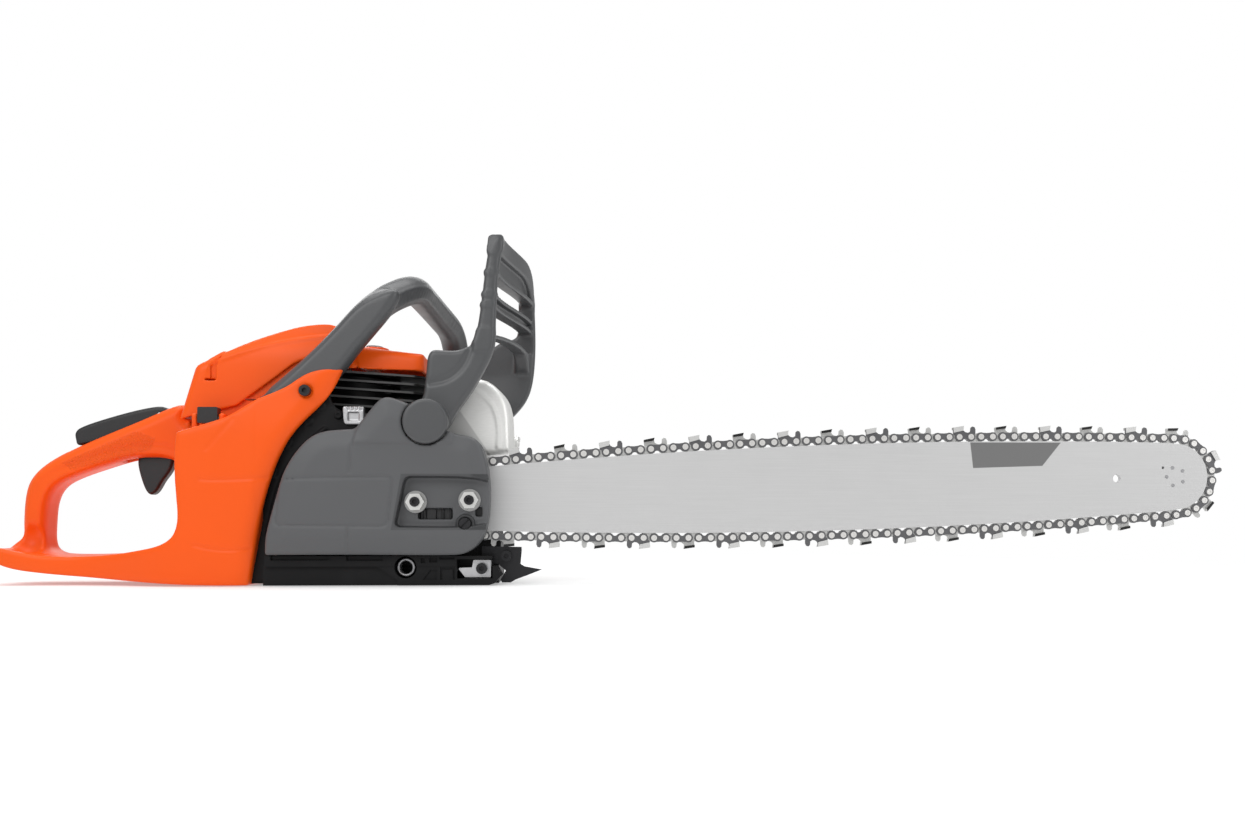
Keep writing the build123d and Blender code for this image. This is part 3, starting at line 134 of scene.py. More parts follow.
# ---------------------------------------------------------------- material building
class Recipe:
    """A material with the node helpers that its surface is built from."""

    def __init__(self, name, colour, roughness, metallic=0.0):
        self.material = bpy.data.materials.new(name)
        self.material.use_nodes = True
        self.tree = self.material.node_tree
        self.shader = self.tree.nodes["Principled BSDF"]
        self.colour = self.rgb(colour)
        self.shader.inputs["Roughness"].default_value = roughness
        self.shader.inputs["Metallic"].default_value = metallic
        self.base_roughness = roughness
        self.rough = None
        self.height = None
        self.coords = self.node("ShaderNodeTexCoord").outputs["Object"]

    def node(self, kind, **settings):
        made = self.tree.nodes.new(kind)
        for key, value in settings.items():
            setattr(made, key, value)
        return made

    def link(self, source, target):
        self.tree.links.new(source, target)

    def rgb(self, colour):
        made = self.node("ShaderNodeRGB")
        made.outputs[0].default_value = (*colour, 1)
        return made.outputs[0]

    def noise(self, scale, detail=3.0, stretch=(1, 1, 1)):
        mapping = self.node("ShaderNodeMapping")
        mapping.inputs["Scale"].default_value = stretch
        self.link(self.coords, mapping.inputs["Vector"])
        made = self.node("ShaderNodeTexNoise")
        made.inputs["Scale"].default_value = scale
        made.inputs["Detail"].default_value = detail
        made.inputs["Roughness"].default_value = 0.55
        self.link(mapping.outputs[0], made.inputs["Vector"])
        return made.outputs["Fac"]

    def ramp(self, source, low, high, out_low=0.0, out_high=1.0):
        made = self.node("ShaderNodeMapRange", clamp=True)
        for key, value in (("From Min", low), ("From Max", high), ("To Min", out_low), ("To Max", out_high)):
            made.inputs[key].default_value = value
        self.link(source, made.inputs["Value"])
        return made.outputs[0]

    def math(self, kind, a, b):
        made = self.node("ShaderNodeMath", operation=kind)
        for socket, value in zip(made.inputs, (a, b)):
            if isinstance(value, (int, float)):
                socket.default_value = value
            else:
                self.link(value, socket)
        return made.outputs[0]

    def tint(self, factor, colour):
        """Blends another colour in where the factor is one."""
        made = self.node("ShaderNodeMix", data_type="RGBA")
        self.link(factor, made.inputs["Factor"])
        self.link(self.colour, made.inputs[6])
        made.inputs[7].default_value = (*colour, 1)
        self.colour = made.outputs[2]
        return self

    def vary_roughness(self, factor, low, high):
        self.rough = self.ramp(factor, 0, 1, low, high)
        return self

    def raise_by(self, source, amount):
        """Adds height in millimetres to the bump."""
        scaled = self.math("MULTIPLY", source, amount * MM)
        self.height = scaled if self.height is None else self.math("ADD", self.height, scaled)
        return self

    def along(self, axis):
        """Place along one axis of the frame, in millimetres."""
        split = self.node("ShaderNodeSeparateXYZ")
        self.link(self.coords, split.inputs[0])
        return self.math("MULTIPLY", split.outputs["XYZ".index(axis)], 1 / MM)

    def band(self, axis, low, high, soft=0.1):
        """One between two places along an axis."""
        place = self.along(axis)
        above = self.ramp(place, low - soft, low + soft)
        below = self.ramp(place, high + soft, high - soft)
        return self.math("MULTIPLY", above, below)

    def patch(self, corners, soft=0.25):
        """One inside an outward-bulging flat shape in X and Z, given counter-clockwise."""
        x, z = self.along("X"), self.along("Z")
        inside = None
        for (ax, az), (bx, bz) in zip(corners, corners[1:] + corners[:1]):
            length = math.hypot(bx - ax, bz - az)
            nx, nz = -(bz - az) / length, (bx - ax) / length
            away = self.math("ADD", self.math("MULTIPLY", x, nx), self.math("MULTIPLY", z, nz))
            side = self.ramp(self.math("SUBTRACT", away, nx * ax + nz * az), -soft, soft)
            inside = side if inside is None else self.math("MULTIPLY", inside, side)
        return inside

    def edges(self):
        """One on worn outer edges."""
        return self.ramp(self.node("ShaderNodeNewGeometry").outputs["Pointiness"], 0.52, 0.6)

    def finish(self, specular=0.5):
        self.link(self.colour, self.shader.inputs["Base Color"])
        if self.rough is not None:
            self.link(self.rough, self.shader.inputs["Roughness"])
        if self.height is not None:
            bump = self.node("ShaderNodeBump")
            bump.inputs["Strength"].default_value = 1.0
            bump.inputs["Distance"].default_value = 1.0
            self.link(self.height, bump.inputs["Height"])
            self.link(bump.outputs[0], self.shader.inputs["Normal"])
        self.shader.inputs["Specular IOR Level"].default_value = specular
        return self.material


def moulded(name, colour, roughness=0.42, grain=0.02, darker=0.9, lighter=1.08, specular=0.5, extra=None):
    """Moulded plastic: fine spark-eroded grain, slow colour drift and scuffs on the edges."""
    r = Recipe(name, colour, roughness)
    drift = r.noise(9, 2)
    r.tint(r.ramp(drift, 0.55, 0.8, 0, 0.6), tuple(c * darker for c in colour))
    r.tint(r.ramp(drift, 0.2, 0.42, 0.5, 0), tuple(min(1, c * lighter) for c in colour))
    fine = r.noise(1500, 2)
    r.raise_by(fine, grain).raise_by(r.noise(260, 2), grain * 0.8)
    scuff = r.ramp(r.noise(420, 4, (1, 1, 0.25)), 0.6, 0.75, 0, 0.25)
    r.tint(r.math("MULTIPLY", r.edges(), scuff), tuple(min(1, c * 1.5 + 0.02) for c in colour))
    if extra:
        extra(r)
    r.vary_roughness(r.noise(38, 4), roughness - 0.07, roughness + 0.1)
    return r.finish(specular=specular)


def steel(name, colour, roughness=0.3, brushed=(1, 1, 1), scratch=0.004, stain=None, metallic=1.0,
          extra=None):
    """Steel with directional brushing, smudges and a few stains."""
    r = Recipe(name, colour, roughness, metallic)
    lines = r.noise(900, 3, brushed)
    r.tint(r.ramp(lines, 0.35, 0.7, 0.25, 0), tuple(c * 0.8 for c in colour))
    if stain:
        r.tint(r.ramp(r.noise(60, 4), 0.52, 0.75, 0, 0.7), stain)
    if extra:
        extra(r)
    r.raise_by(lines, scratch)
    r.vary_roughness(r.noise(45, 4), roughness - 0.06, roughness + 0.14)
    return r.finish()


def casting(name, colour, roughness=0.5, grain=0.05, metallic=0.0, specular=0.5, extra=None):
    """Painted or bare casting: orange-peel skin with slow drift of tone."""
    r = Recipe(name, colour, roughness, metallic)
    r.tint(r.ramp(r.noise(30, 3), 0.5, 0.8, 0, 0.5), tuple(c * 1.6 + 0.004 for c in colour))
    if extra:
        extra(r)
    r.raise_by(r.noise(700, 3), grain).raise_by(r.noise(120, 2), grain)
    r.vary_roughness(r.noise(50, 3), roughness - 0.08, roughness + 0.12)
    return r.finish(specular=specular)


ORANGE = (0.85, 0.097, 0.005)
COVER_GRAY = (0.092, 0.094, 0.098)
HANDLE_GRAY = (0.056, 0.058, 0.061)
BLACK = (0.010, 0.010, 0.011)
STRAP_GRAY = (0.115, 0.115, 0.12)


def grip_stipple(r):
    """Fine raised dots where the palm holds the rear handle, with painted shade in the hollows between them.
    """
    dots = r.node("ShaderNodeTexVoronoi")
    dots.inputs["Scale"].default_value = 620
    r.link(r.coords, dots.inputs["Vector"])
    area = r.patch([(-234.6, 95.7), (-168.7, 112.4), (-164.7, 122.7), (-180.7, 128.7), (-242.6, 101.8)], 0.6)
    r.raise_by(r.math("MULTIPLY", r.ramp(dots.outputs["Distance"], 0.2, 0.5, 1, 0), area), 0.35)
    # Painted shade: darker orange in the low ground between the raised dots.
    r.tint(r.math("MULTIPLY", area, r.ramp(dots.outputs["Distance"], 0.3, 0.6, 0, 0.35)), (0.6, 0.06, 0.004))


def nut_recess_shade(r):
    """Darker walls round the recess of the bar nuts."""
    area = r.patch([(43, 45), (140, 45), (140, 90), (51, 90)], 0.3)
    r.tint(r.math("MULTIPLY", area, r.band("Y", -40.5, -31.0, 0.6)), (0.04, 0.041, 0.043))


def bar_markings(r):
    """Plain painted band near the tip."""
    r.tint(r.patch([(533.1, 98.1), (594.3, 100.2), (610.6, 120.4), (530.6, 120.2)], 0.2),
           (0.165, 0.165, 0.165))


def chain_shades(r):
    """Drive links in the middle plane, lighter than the straps beside them."""
    r.tint(r.band("Y", -0.8, 0.8), (0.56, 0.56, 0.55))


def cutter_tones_and_painted_shadow(r):
    """Bright chrome outside, the strap's own gray, and a painted shadow as a dark edge along each top plate.
    """
    r.tint(r.band("Y", -2.6, -1.5), STRAP_GRAY)
    # Painted shadow: black band under the near edge of each top plate.
    r.tint(r.band("Y", -1.5, -0.9), (0.012, 0.012, 0.012))
    r.tint(r.band("Y", -0.9, 9.0), (0.5, 0.5, 0.49))


def fin_edge_highlight(r):
    """Painted highlight: fins lighter gray along their near edges."""
    # Painted highlight: lighter gray on the near edges of the fins.
    r.tint(r.band("Y", -9, 7.6, 0.2), (0.10, 0.10, 0.10))


def nut_flange_painted_shade(r):
    """Painted shade on the flange under each hexagon, darker than the nut's face."""
    # Painted shade: the flange band is darker than the nut's face.
    r.tint(r.band("Y", -31.8, -30.0), (0.36, 0.36, 0.355))


def muffler_shade(r):
    """Painted shade over the rear lower half of the sheet."""
    shade = r.patch([(20, 60), (153, 60), (119.6, 108.5), (93, 146.9), (60, 195), (20, 195)], 1.0)
    # Painted shade: the sheet is darkened below the diagonal.
    r.tint(r.math("MULTIPLY", shade, 0.9), (0.55, 0.55, 0.54))


def valve_shades(r):
    """Gray head above the red stem."""
    r.tint(r.band("Z", 203.6, 230, 0.2), (0.2, 0.2, 0.205))


looks = {
    "orange_plastic": moulded("orange_plastic", ORANGE, 0.36, specular=0.22, extra=grip_stipple),
    "cover_gray": moulded("cover_gray", COVER_GRAY, 0.46, 0.03, specular=0.35, extra=nut_recess_shade),
    "handle_gray": moulded("handle_gray", HANDLE_GRAY, 0.38, 0.03, specular=0.6),
    "black_plastic": moulded("black_plastic", BLACK, 0.42, 0.03, 1.0, 1.8),
    "black_casting": casting("black_casting", (0.008, 0.008, 0.0085), 0.45, specular=0.15),
    "bar_steel": steel("bar_steel", (0.56, 0.56, 0.56), 0.42, (0.02, 1, 1), 0.001, metallic=0.35,
                       extra=bar_markings),
    "chain_steel": steel("chain_steel", STRAP_GRAY, 0.36, scratch=0.003, metallic=0.4, extra=chain_shades),
    "cutter_steel": steel("cutter_steel", (0.62, 0.62, 0.61), 0.28, scratch=0.002, metallic=0.4,
                          extra=cutter_tones_and_painted_shadow),
    "rivet_steel": steel("rivet_steel", (0.75, 0.74, 0.72), 0.25, scratch=0.003, metallic=0.6),
    "zinc_steel": steel("zinc_steel", (0.75, 0.75, 0.73), 0.26, extra=nut_flange_painted_shade),
    "tool_steel": steel("tool_steel", (0.34, 0.34, 0.35), 0.35, stain=(0.15, 0.12, 0.1)),
    "screw_black": steel("screw_black", (0.02, 0.02, 0.022), 0.35, metallic=0.5),
    "muffler_sheet": steel("muffler_sheet", (0.84, 0.84, 0.82), 0.34, (0.2, 1, 1), 0.01, metallic=0.5,
                           extra=muffler_shade),
    "cylinder_alloy": casting("cylinder_alloy", (0.008, 0.008, 0.0085), 0.5, specular=0.2, extra=fin_edge_highlight),
    "bare_alloy": casting("bare_alloy", (0.5, 0.5, 0.51), 0.38, 0.03, 1.0),
    "rubber": moulded("rubber", (0.014, 0.014, 0.014), 0.6, 0.03, 1.0, 1.5, 0.3),
    "filter_felt": casting("filter_felt", (0.6, 0.56, 0.45), 0.9, 0.1),
    "rope_cord": casting("rope_cord", (0.75, 0.75, 0.72), 0.85, 0.2),
    "spark_ceramic": steel("spark_ceramic", (0.7, 0.7, 0.68), 0.2, metallic=0.2),
    "valve_red": moulded("valve_red", (0.3, 0.05, 0.025), 0.4, extra=valve_shades),
}


def dress_cad_nodes():
    """Every CAD node gets the material of its slot."""
    slots = {s["node"]: s["material_slot"] for s in frame["record"]["subparts"]}
    for name, piece in nodes.items():
        piece.data.materials.clear()
        piece.data.materials.append(looks[slots[name]])


# ---------------------------------------------------------------- moulded shapes, in millimetres
# Grid steps of the shells and of the small pieces.
STEP = 1.2
FINE = 0.8
# Distance that stands for empty space.
FAR_OFF = 99.0
# The crankshaft's place above the ground, and how far the cylinder leans forward.
CRANK_HEIGHT = 67.1
ENGINE_LEAN = math.radians(3.5)


def curve(points, corners=None, closed=True, samples=6):
    """Smooth line that leans on the given points. corners gives the reach of the bend at some of them."""
    p = np.array(points, float)
    corners = corners or {}
    line = []
    for i in range(len(p)):
        if not closed and i in (0, len(p) - 1):
            line.append(p[i])
            continue
        before, after = p[i - 1] - p[i], p[(i + 1) % len(p)] - p[i]
        reach = corners.get(i, 1e6)
        start = p[i] + before * min(0.5, reach / np.linalg.norm(before))
        end = p[i] + after * min(0.5, reach / np.linalg.norm(after))
        steps = np.linspace(0, 1, samples)
        line += [(1 - t) ** 2 * start + 2 * t * (1 - t) * p[i] + t * t * end for t in steps]
    return np.array(line)


def line_distance(x, z, line, closed=True):
    """Distance from a flat line; inside a closed one it is negative."""
    best = np.full(np.broadcast(x, z).shape, 1e6, np.float32)
    inside = np.zeros(best.shape, bool)
    for (ax, az), (bx, bz) in zip(line, np.roll(line, -1, 0) if closed else line[1:]):
        ex, ez, px, pz = bx - ax, bz - az, x - ax, z - az
        t = np.clip((px * ex + pz * ez) / (ex * ex + ez * ez + 1e-9), 0, 1)
        best = np.minimum(best, (px - t * ex) ** 2 + (pz - t * ez) ** 2)
        if closed and az != bz:
            inside ^= ((az > z) != (bz > z)) & (px < ex * pz / ez)
    best = np.sqrt(best)
    return np.where(inside, -best, best).astype(np.float32)


def rounded(across, along, radius):
    """Meets two distances in an outer edge of that radius."""
    a, b = across + radius, along + radius
    return np.minimum(np.maximum(a, b), 0) + np.hypot(np.maximum(a, 0), np.maximum(b, 0)) - radius


def join(a, b, k=2.0):
    """Union with a fillet of about k."""
    h = np.clip(0.5 + 0.5 * (b - a) / k, 0, 1)
    return b + (a - b) * h - k * h * (1 - h)


def cut(a, b, k=1.0):
    """a without b, with its edge eased by k."""
    return -join(-a, b, k)


def ease(t):
    """Soft step from nought to one."""
    t = np.clip(t, 0, 1)
    return t * t * (3 - 2 * t)


def net(d):
    """Surface where the grid's values pass zero: a point in each crossed cell, a face round each edge."""
    solid = d < 0
    corners = np.array([(i, j, k) for i in (0, 1) for j in (0, 1) for k in (0, 1)])
    size = np.array(d.shape) - 1
    count = np.zeros(size, np.int8)
    for i, j, k in corners:
        count += solid[i:size[0] + i, j:size[1] + j, k:size[2] + k]
    crossed = (count > 0) & (count < 8)
    cells = np.argwhere(crossed)
    number = np.full(crossed.shape, -1, np.int64)
    number[crossed] = np.arange(len(cells))
    values = np.stack([d[tuple((cells + c).T)] for c in corners], 1)
    total, hits = np.zeros((len(cells), 3)), np.zeros(len(cells))
    for a in range(8):
        for b in range(a + 1, 8):
            if np.abs(corners[a] - corners[b]).sum() == 1:
                va, vb = values[:, a], values[:, b]
                on = (va < 0) != (vb < 0)
                t = np.where(on, va / np.where(on, va - vb, 1), 0)
                total += on[:, None] * (corners[a] + t[:, None] * (corners[b] - corners[a]))
                hits += on
    points = cells + total / hits[:, None]
    faces = []
    for axis in range(3):
        u, v = [np.eye(3, dtype=int)[a] for a in ((axis + 1) % 3, (axis + 2) % 3)]
        step = np.eye(3, dtype=int)[axis]
        inner = tuple(slice(1, n) if a != axis else slice(0, n) for a, n in enumerate(size))
        ahead = tuple(slice(1, n) if a != axis else slice(1, n + 1) for a, n in enumerate(size))
        edge = np.argwhere(solid[inner] != solid[ahead]) + (1 - step)
        quad = np.stack([number[tuple((edge - o).T)] for o in (u + v, v, 0 * u, u)], 1)
        flip = ~solid[tuple(edge.T)]
        quad[flip] = quad[flip][:, ::-1]
        faces.append(quad)
    return points, np.concatenate(faces)


def settle(d, points):
    """Moves points onto the zero surface of the grid."""
    top = np.array(d.shape) - 2
    for _ in range(3):
        base = np.clip(np.floor(points).astype(int), 0, top)
        f = points - base
        value, slope = np.zeros(len(points)), np.zeros((len(points), 3))
        for c in np.ndindex(2, 2, 2):
            w = [f[:, a] if c[a] else 1 - f[:, a] for a in range(3)]
            here = d[tuple((base + c).T)]
            value += here * w[0] * w[1] * w[2]
            for a in range(3):
                others = [w[o] for o in range(3) if o != a]
                slope[:, a] += here * (1 if c[a] else -1) * others[0] * others[1]
        move = -value[:, None] * slope / np.maximum((slope ** 2).sum(1), 0.05)[:, None]
        points = points + np.clip(move, -0.4, 0.4)
    return points


class Clay:
    """A shape kept as distances to its surface on a grid, and the cutting and joining done to it."""

    def __init__(self, low, high, step):
        self.low, self.step = np.array(low, float), step
        x, y, z = (a + step * np.arange(int((b - a) / step) + 2, dtype=np.float32) for a, b in zip(low, high))
        self.x, self.y, self.z = x[:, None, None], y[None, :, None], z[None, None, :]
        self.d = np.full((len(x), len(y), len(z)), FAR_OFF, np.float32)

    def flat(self, points, corners=None, closed=True, straight=False):
        """Distance from a line drawn in X and Z."""
        line = np.array(points, float) if straight else curve(points, corners, closed)
        return line_distance(self.x, self.z, line, closed)

    def slab(self, across, near, far, radius=1.5):
        """Plate of a flat shape between two depths."""
        return rounded(across, np.maximum(near - self.y, self.y - far), radius)

    def box(self, low, high, radius=1.5):
        """Block between two corners."""
        away = [np.maximum(a - g, g - b) for a, b, g in zip(low, high, (self.x, self.y, self.z))]
        return rounded(rounded(away[0], away[2], radius), away[1], radius)

    def rod(self, x, z, radius, near, far, edge=1.0):
        """Round pin across the saw between two depths."""
        return self.slab(np.hypot(self.x - x, self.z - z) - radius, near, far, edge)

    def bar(self, path, radius, ridge=None):
        """Round bar along a line of points, with an optional pair of ridges towards a direction."""
        d = np.full(self.d.shape, FAR_OFF, np.float32)
        reach = radius + 12
        axes = (self.x.ravel(), self.y.ravel(), self.z.ravel())
        for a, b in zip(path, path[1:]):
            span = [slice(*np.searchsorted(g, (min(p, q) - reach, max(p, q) + reach)))
                    for g, p, q in zip(axes, a, b)]
            gx, gy, gz = axes[0][span[0]][:, None, None], axes[1][span[1]][None, :, None], axes[2][span[2]]
            e = b - a
            t = ((gx - a[0]) * e[0] + (gy - a[1]) * e[1] + (gz - a[2]) * e[2]) / (e @ e + 1e-9)
            t = np.clip(t, 0, 1)
            q = [gx - a[0] - t * e[0], gy - a[1] - t * e[1], gz - a[2] - t * e[2]]
            r = np.sqrt(q[0] ** 2 + q[1] ** 2 + q[2] ** 2)
            here = r - radius
            if ridge is not None:
                side = ridge - e * (ridge @ e) / (e @ e + 1e-9)
                side = side / np.linalg.norm(side)
                facing = (q[0] * side[0] + q[1] * side[1] + q[2] * side[2]) / (r + 1e-6)
                turn = np.degrees(np.arccos(np.clip(facing, -1, 1)))
                here = here - 0.9 * np.exp(-((turn - 21) / 6) ** 2) + 0.5 * np.exp(-(turn / 9) ** 2)
            block = d[span[0], span[1], span[2]]
            np.minimum(block, here, out=block)
        return d

    def add(self, other, k=2.0):
        """Joins a shape on with a fillet."""
        self.d = join(self.d, other, k)

    def take(self, other, k=1.0):
        """Cuts a shape away and eases the edge."""
        self.d = cut(self.d, other, k)

    def relief(self, away, width, height, low=-1e3, high=1e3):
        """Raises a soft line of the surface between two depths, or sinks it."""
        self.d = self.d - height * ease(1 - away / width) * ((self.y > low) & (self.y < high))

    def piece(self, name, look, body, *replaced):
        """The shape as a mesh that stands for its CAD nodes."""
        points, faces = net(self.d)
        points = settle(self.d, points)
        mesh = bpy.data.meshes.new(name)
        mesh.from_pydata((self.low + points * self.step) * MM, [], faces.tolist())
        mesh.shade_smooth()
        mesh.materials.append(looks[look])
        made = bpy.data.objects.new(name, mesh)
        scene.collection.objects.link(made)
        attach(made, body)
        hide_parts(*replaced)
        return made


# ---------------------------------------------------------------- handle unit
# Depths along Y, then places in X and Z; the latch turns about a line at this Y and Z.
NEAR_FACE = -30.0
GRIP_MIDDLE, GRIP_HALF = 40.0, 17.0
FOOT_FROM, FOOT_FAR_SIDE = -128, 56
FUEL_CAP = (-98, 40)
HANDLE_SCREW = (-26.8, 157.2)
LATCH_PIVOT = (-13.2, 136.2)


def handle_unit():
    """Tank, side fairing, rear handle and its foot as one moulding."""
    c = Clay((-293, -34, -4), (9, 108, 196), STEP)
    fairing = c.flat([(-73.5, 0.4), (-70.5, 18), (-67, 36.3), (-63, 58.5), (-59.1, 74.6), (-51.1, 98.8),
                      (-43.2, 114.9), (-36.3, 125.1), (-27.3, 135.2), (-16.4, 146), (-7.4, 156.5),
                      (1.9, 175.8), (-8.4, 175.7), (-21.4, 174), (-32.3, 168.5), (-43.2, 160), (-66, 150.7),
                      (-84.5, 138.8), (-94.4, 134), (-129.2, 123.5), (-131, 105), (-130, 80), (-128, 60),
                      (-128.5, 48), (-133, 38), (-145, 31.5), (-164, 28), (-187, 24.5), (-218, 23),
                      (-236, 23), (-250, 24), (-268, 28), (-282, 31), (-288.6, 27), (-283, 18), (-268, 12.4),
                      (-241, 9), (-218, 7), (-187, 4.6), (-148, 2), (-110, 0.4)],
                     {0: 1, 11: 2, 16: 2, 19: 2})
    front_edge = c.flat([(-72, 2), (-67, 36), (-59, 75), (-43, 115), (-19, 143), (2, 174)], closed=False)
    near = NEAR_FACE + 24 * ease((-c.x - 120) / 100) + 5 * np.clip(1 - front_edge / 15, 0, 1) ** 2
    near = near + 3.0 * ease((c.z - 118) / 60)
    c.add(c.slab(np.maximum(fairing, c.x + 64), near, 104, 5.0), 0.5)
    c.d = np.where((c.x <= FOOT_FROM) & (c.y > FOOT_FAR_SIDE), np.maximum(c.d, c.y - FOOT_FAR_SIDE), c.d)
    c.add(c.slab(fairing, near, near + 5, 2.2), 1.0)
    outer = c.flat([(-112, 92), (-112, 2), (-148.6, 2.5), (-187.5, 5), (-241, 9), (-268, 12), (-283, 17),
                    (-288.6, 26), (-284, 33.6), (-276.5, 39), (-276.8, 53.3), (-275.4, 74.7), (-270.9, 89),
                    (-258, 102), (-234.2, 115.3), (-200.7, 130), (-175.4, 140.6), (-149.3, 153), (-139, 151),
                    (-140.5, 136), (-116, 133)], {0: 2, 1: 2})
    gap = c.flat([(-155, 33), (-146.5, 46), (-142.6, 62), (-142, 84), (-145, 99), (-156, 106),
                  (-183.9, 105.9), (-209.1, 98.1), (-234.2, 89.4), (-249, 81.6), (-255.5, 69), (-257, 50),
                  (-257.4, 33), (-252, 25.6), (-235, 24.4), (-200.7, 24.8), (-170, 27)])
    loop = c.slab(np.maximum(outer, -gap), GRIP_MIDDLE - GRIP_HALF, GRIP_MIDDLE + GRIP_HALF, 11.5)
    c.add(loop, 5)
    c.take(c.slab(gap, GRIP_MIDDLE - 30, GRIP_MIDDLE + 30, 0), 3)
    c.relief(np.abs(gap - 4.2), 3.4, 1.3, 14, 66)
    c.relief(np.abs(gap - 10.5), 4.0, -1.0, 14, 66)
    dish = np.sqrt(((c.x + 268) / 15) ** 2 + ((c.y - 14) / 17) ** 2 + ((c.z - 38) / 15) ** 2) - 1
    c.take(dish * 13, 3)
    trigger_well = c.flat([(-200, 80), (-196, 112), (-180, 124), (-150, 128), (-146, 110), (-149, 80)])
    c.take(c.slab(trigger_well, 33, 47, 1) + FAR_OFF * (c.z < 97), 1)
    lockout_slot = c.flat([(-240, 108), (-238, 130), (-150, 170), (-150, 134), (-176, 127), (-206, 115)],
                          straight=True)
    c.take(c.slab(lockout_slot, 31, 49, 1), 1)
    grooves = ([(-110, 86), (-99, 85.3), (-58, 86.8)], [(-115, 33.2), (-104, 30.2), (-89, 28.6), (-71, 29.6)])
    for line in grooves:
        c.relief(c.flat(line, closed=False), 1.7, -0.9, high=-15)
    c.relief(c.flat([(-84.3, 134.3), (-105.3, 109.7)], closed=False), 2.5, -0.5, high=-15)
    for x in (-121.0, -99.3):
        c.add(c.box((x, -17, 108), (x + 4.4, -9, 140), 1.0), 0.5)
    wall = c.flat([(-129, 110), (-127, 139), (-92, 156), (-60, 180), (-38, 192), (-30, 180), (-48, 162),
                   (-66, 150), (-66, 110)], straight=True)
    c.add(c.slab(wall, 6, 9, 0.8), 0.5)
    latch_room = np.hypot(c.y - LATCH_PIVOT[0], c.z - LATCH_PIVOT[1]) - 7.2
    c.take(np.maximum(latch_room, np.abs(c.x + 108) - 8.2), 0.3)
    c.take(c.rod(*HANDLE_SCREW, 5.4, -40, -26, 0.5), 0.8)
    c.take(c.rod(*FUEL_CAP, 14, 92, 110, 0.5), 0.8)
    c.take(c.rod(*FUEL_CAP, 9, 74, 110, 0.5), 0.8)
    along = np.hypot(c.y - 82, c.z - 60) - 9
    c.take(np.maximum(along, -82 - c.x), 0.8)
    return c.piece("handle_shell", "orange_plastic", "root", "tank_handle_unit")


TRIGGER = [(-166, 118), (-152, 117), (-153.5, 104), (-156.5, 95), (-163, 87), (-167.5, 78), (-172.5, 74.2),
           (-177, 77.5), (-181.3, 89), (-184.5, 103), (-182, 109), (-172, 112)]
LOCKOUT = [(-235.9, 127.5), (-234, 116.8), (-206, 121), (-176, 131.5), (-165, 136), (-158.5, 141),
           (-158, 149.5), (-166, 151.5), (-192.3, 145.6), (-231, 133.3)]


def lever(name, outline, corners, half, radius, body, node, pin):
    """Finger or palm lever with soft edges and its pin hole."""
    low, high = np.min(outline, 0) - 3, np.max(outline, 0) + 3
    c = Clay((low[0], GRIP_MIDDLE - half - 3, low[1]), (high[0], GRIP_MIDDLE + half + 3, high[1]), FINE)
    c.add(c.slab(c.flat(outline, corners), GRIP_MIDDLE - half, GRIP_MIDDLE + half, radius))
    c.take(c.rod(*pin, 2.1, 0, 80, 0), 0.3)
    return c.piece(name, "black_plastic", body, node)


# ---------------------------------------------------------------- top cover
VALVE_AT = (12.8, 58, 195)


def cover_shell():
    """Top cover over the filter and the cylinder, open below, with the collar of the decompression valve."""
    c = Clay((-143, -1, 133), (68, 103, 223), STEP)
    whole = c.flat([(-139.6, 136.8), (-132.1, 162), (-125.8, 183), (-106.1, 192.4), (-92, 198.8),
                    (-79.5, 204.1), (-54.8, 212.7), (-40.6, 217), (-25, 219.2), (-12, 219), (-5, 213),
                    (0, 202), (14, 199.4), (63.6, 194), (63.6, 178.4), (30, 179.4), (-3, 180.3), (-20, 184),
                    (-36, 190), (-62, 170), (-91, 148.3), (-114, 142.6)],
                   {0: 1, 2: 3, 13: 3, 14: 1, 19: 3, 20: 2})
    lean = 9 * ease((c.z - 172) / 50) ** 2
    c.add(c.slab(whole, 2 + lean, 100 - lean, 1.2), 0.2)
    hull = c.flat([(-151.5, 97), (-125.8, 183), (-106.1, 192.4), (-79.5, 204.1), (-54.8, 212.7), (-40.6, 217),
                   (-25, 219.2), (-12, 219), (-5, 213), (0, 202), (14, 199.4), (63.6, 194), (70, 100)],
                  {0: 1, 1: 5, 11: 3, 12: 1})
    c.d = -join(-c.d, -c.slab(hull, 2, 100, 9), 2)
    inner = c.flat([(-134, 120), (-135, 140), (-124, 182.4), (-110, 189), (-73, 205), (-40.5, 214.6),
                    (-14, 216.4), (-8, 200), (13, 196), (60.6, 190.6), (60.6, 120)], straight=True)
    c.take(c.slab(inner, 4.8 + lean, 97.2 - lean, 6), 0.5)
    notch = c.flat([(-112, 185.2), (-117.5, 170), (-107.8, 170), (-107.6, 181.6), (-102.4, 191)],
                   straight=True)
    c.add(c.slab(notch - 3.5, 5.5 + lean, 12 + lean, 1), 0.5)
    c.take(c.slab(notch, -5, 4.4 + lean + 0.3 * (c.x + 110), 0.5), 0.6)
    c.take(c.box((-117, -5, 169.2), (-108.4, 10, 171.0), 0.2), 0.3)
    valve_x, valve_y, valve_z = VALVE_AT
    valve = np.hypot((c.x - valve_x) - math.tan(ENGINE_LEAN) * (c.z - valve_z), c.y - valve_y)
    c.add(rounded(valve - 12.5, np.maximum(188 - c.z, c.z - 206), 1), 1.5)
    c.take(np.maximum(valve - 10, 150 - c.z) + FAR_OFF * (c.x < 1), 0.6)
    c.relief(c.flat([(-112, 184), (-70, 199), (-34, 206), (-14, 208)], closed=False), 3, 0.7, high=30)
    c.relief(c.flat([(2, 199), (8, 181)], closed=False), 3, -0.8, high=30)
    return c.piece("cover_shell", "orange_plastic", "root", "top_cover")


# ---------------------------------------------------------------- front handle
HANDLE_ROUTE = ((-48, -12, 154), (-6, -12, 191), (28, -11, 232), (52, 24, 253), (58, 92, 251), (74, 148, 236),
                (77, 163, 190), (58, 161, 90), (36, 156, 26), (22, 130, 9.5), (20, 100, 9.5))


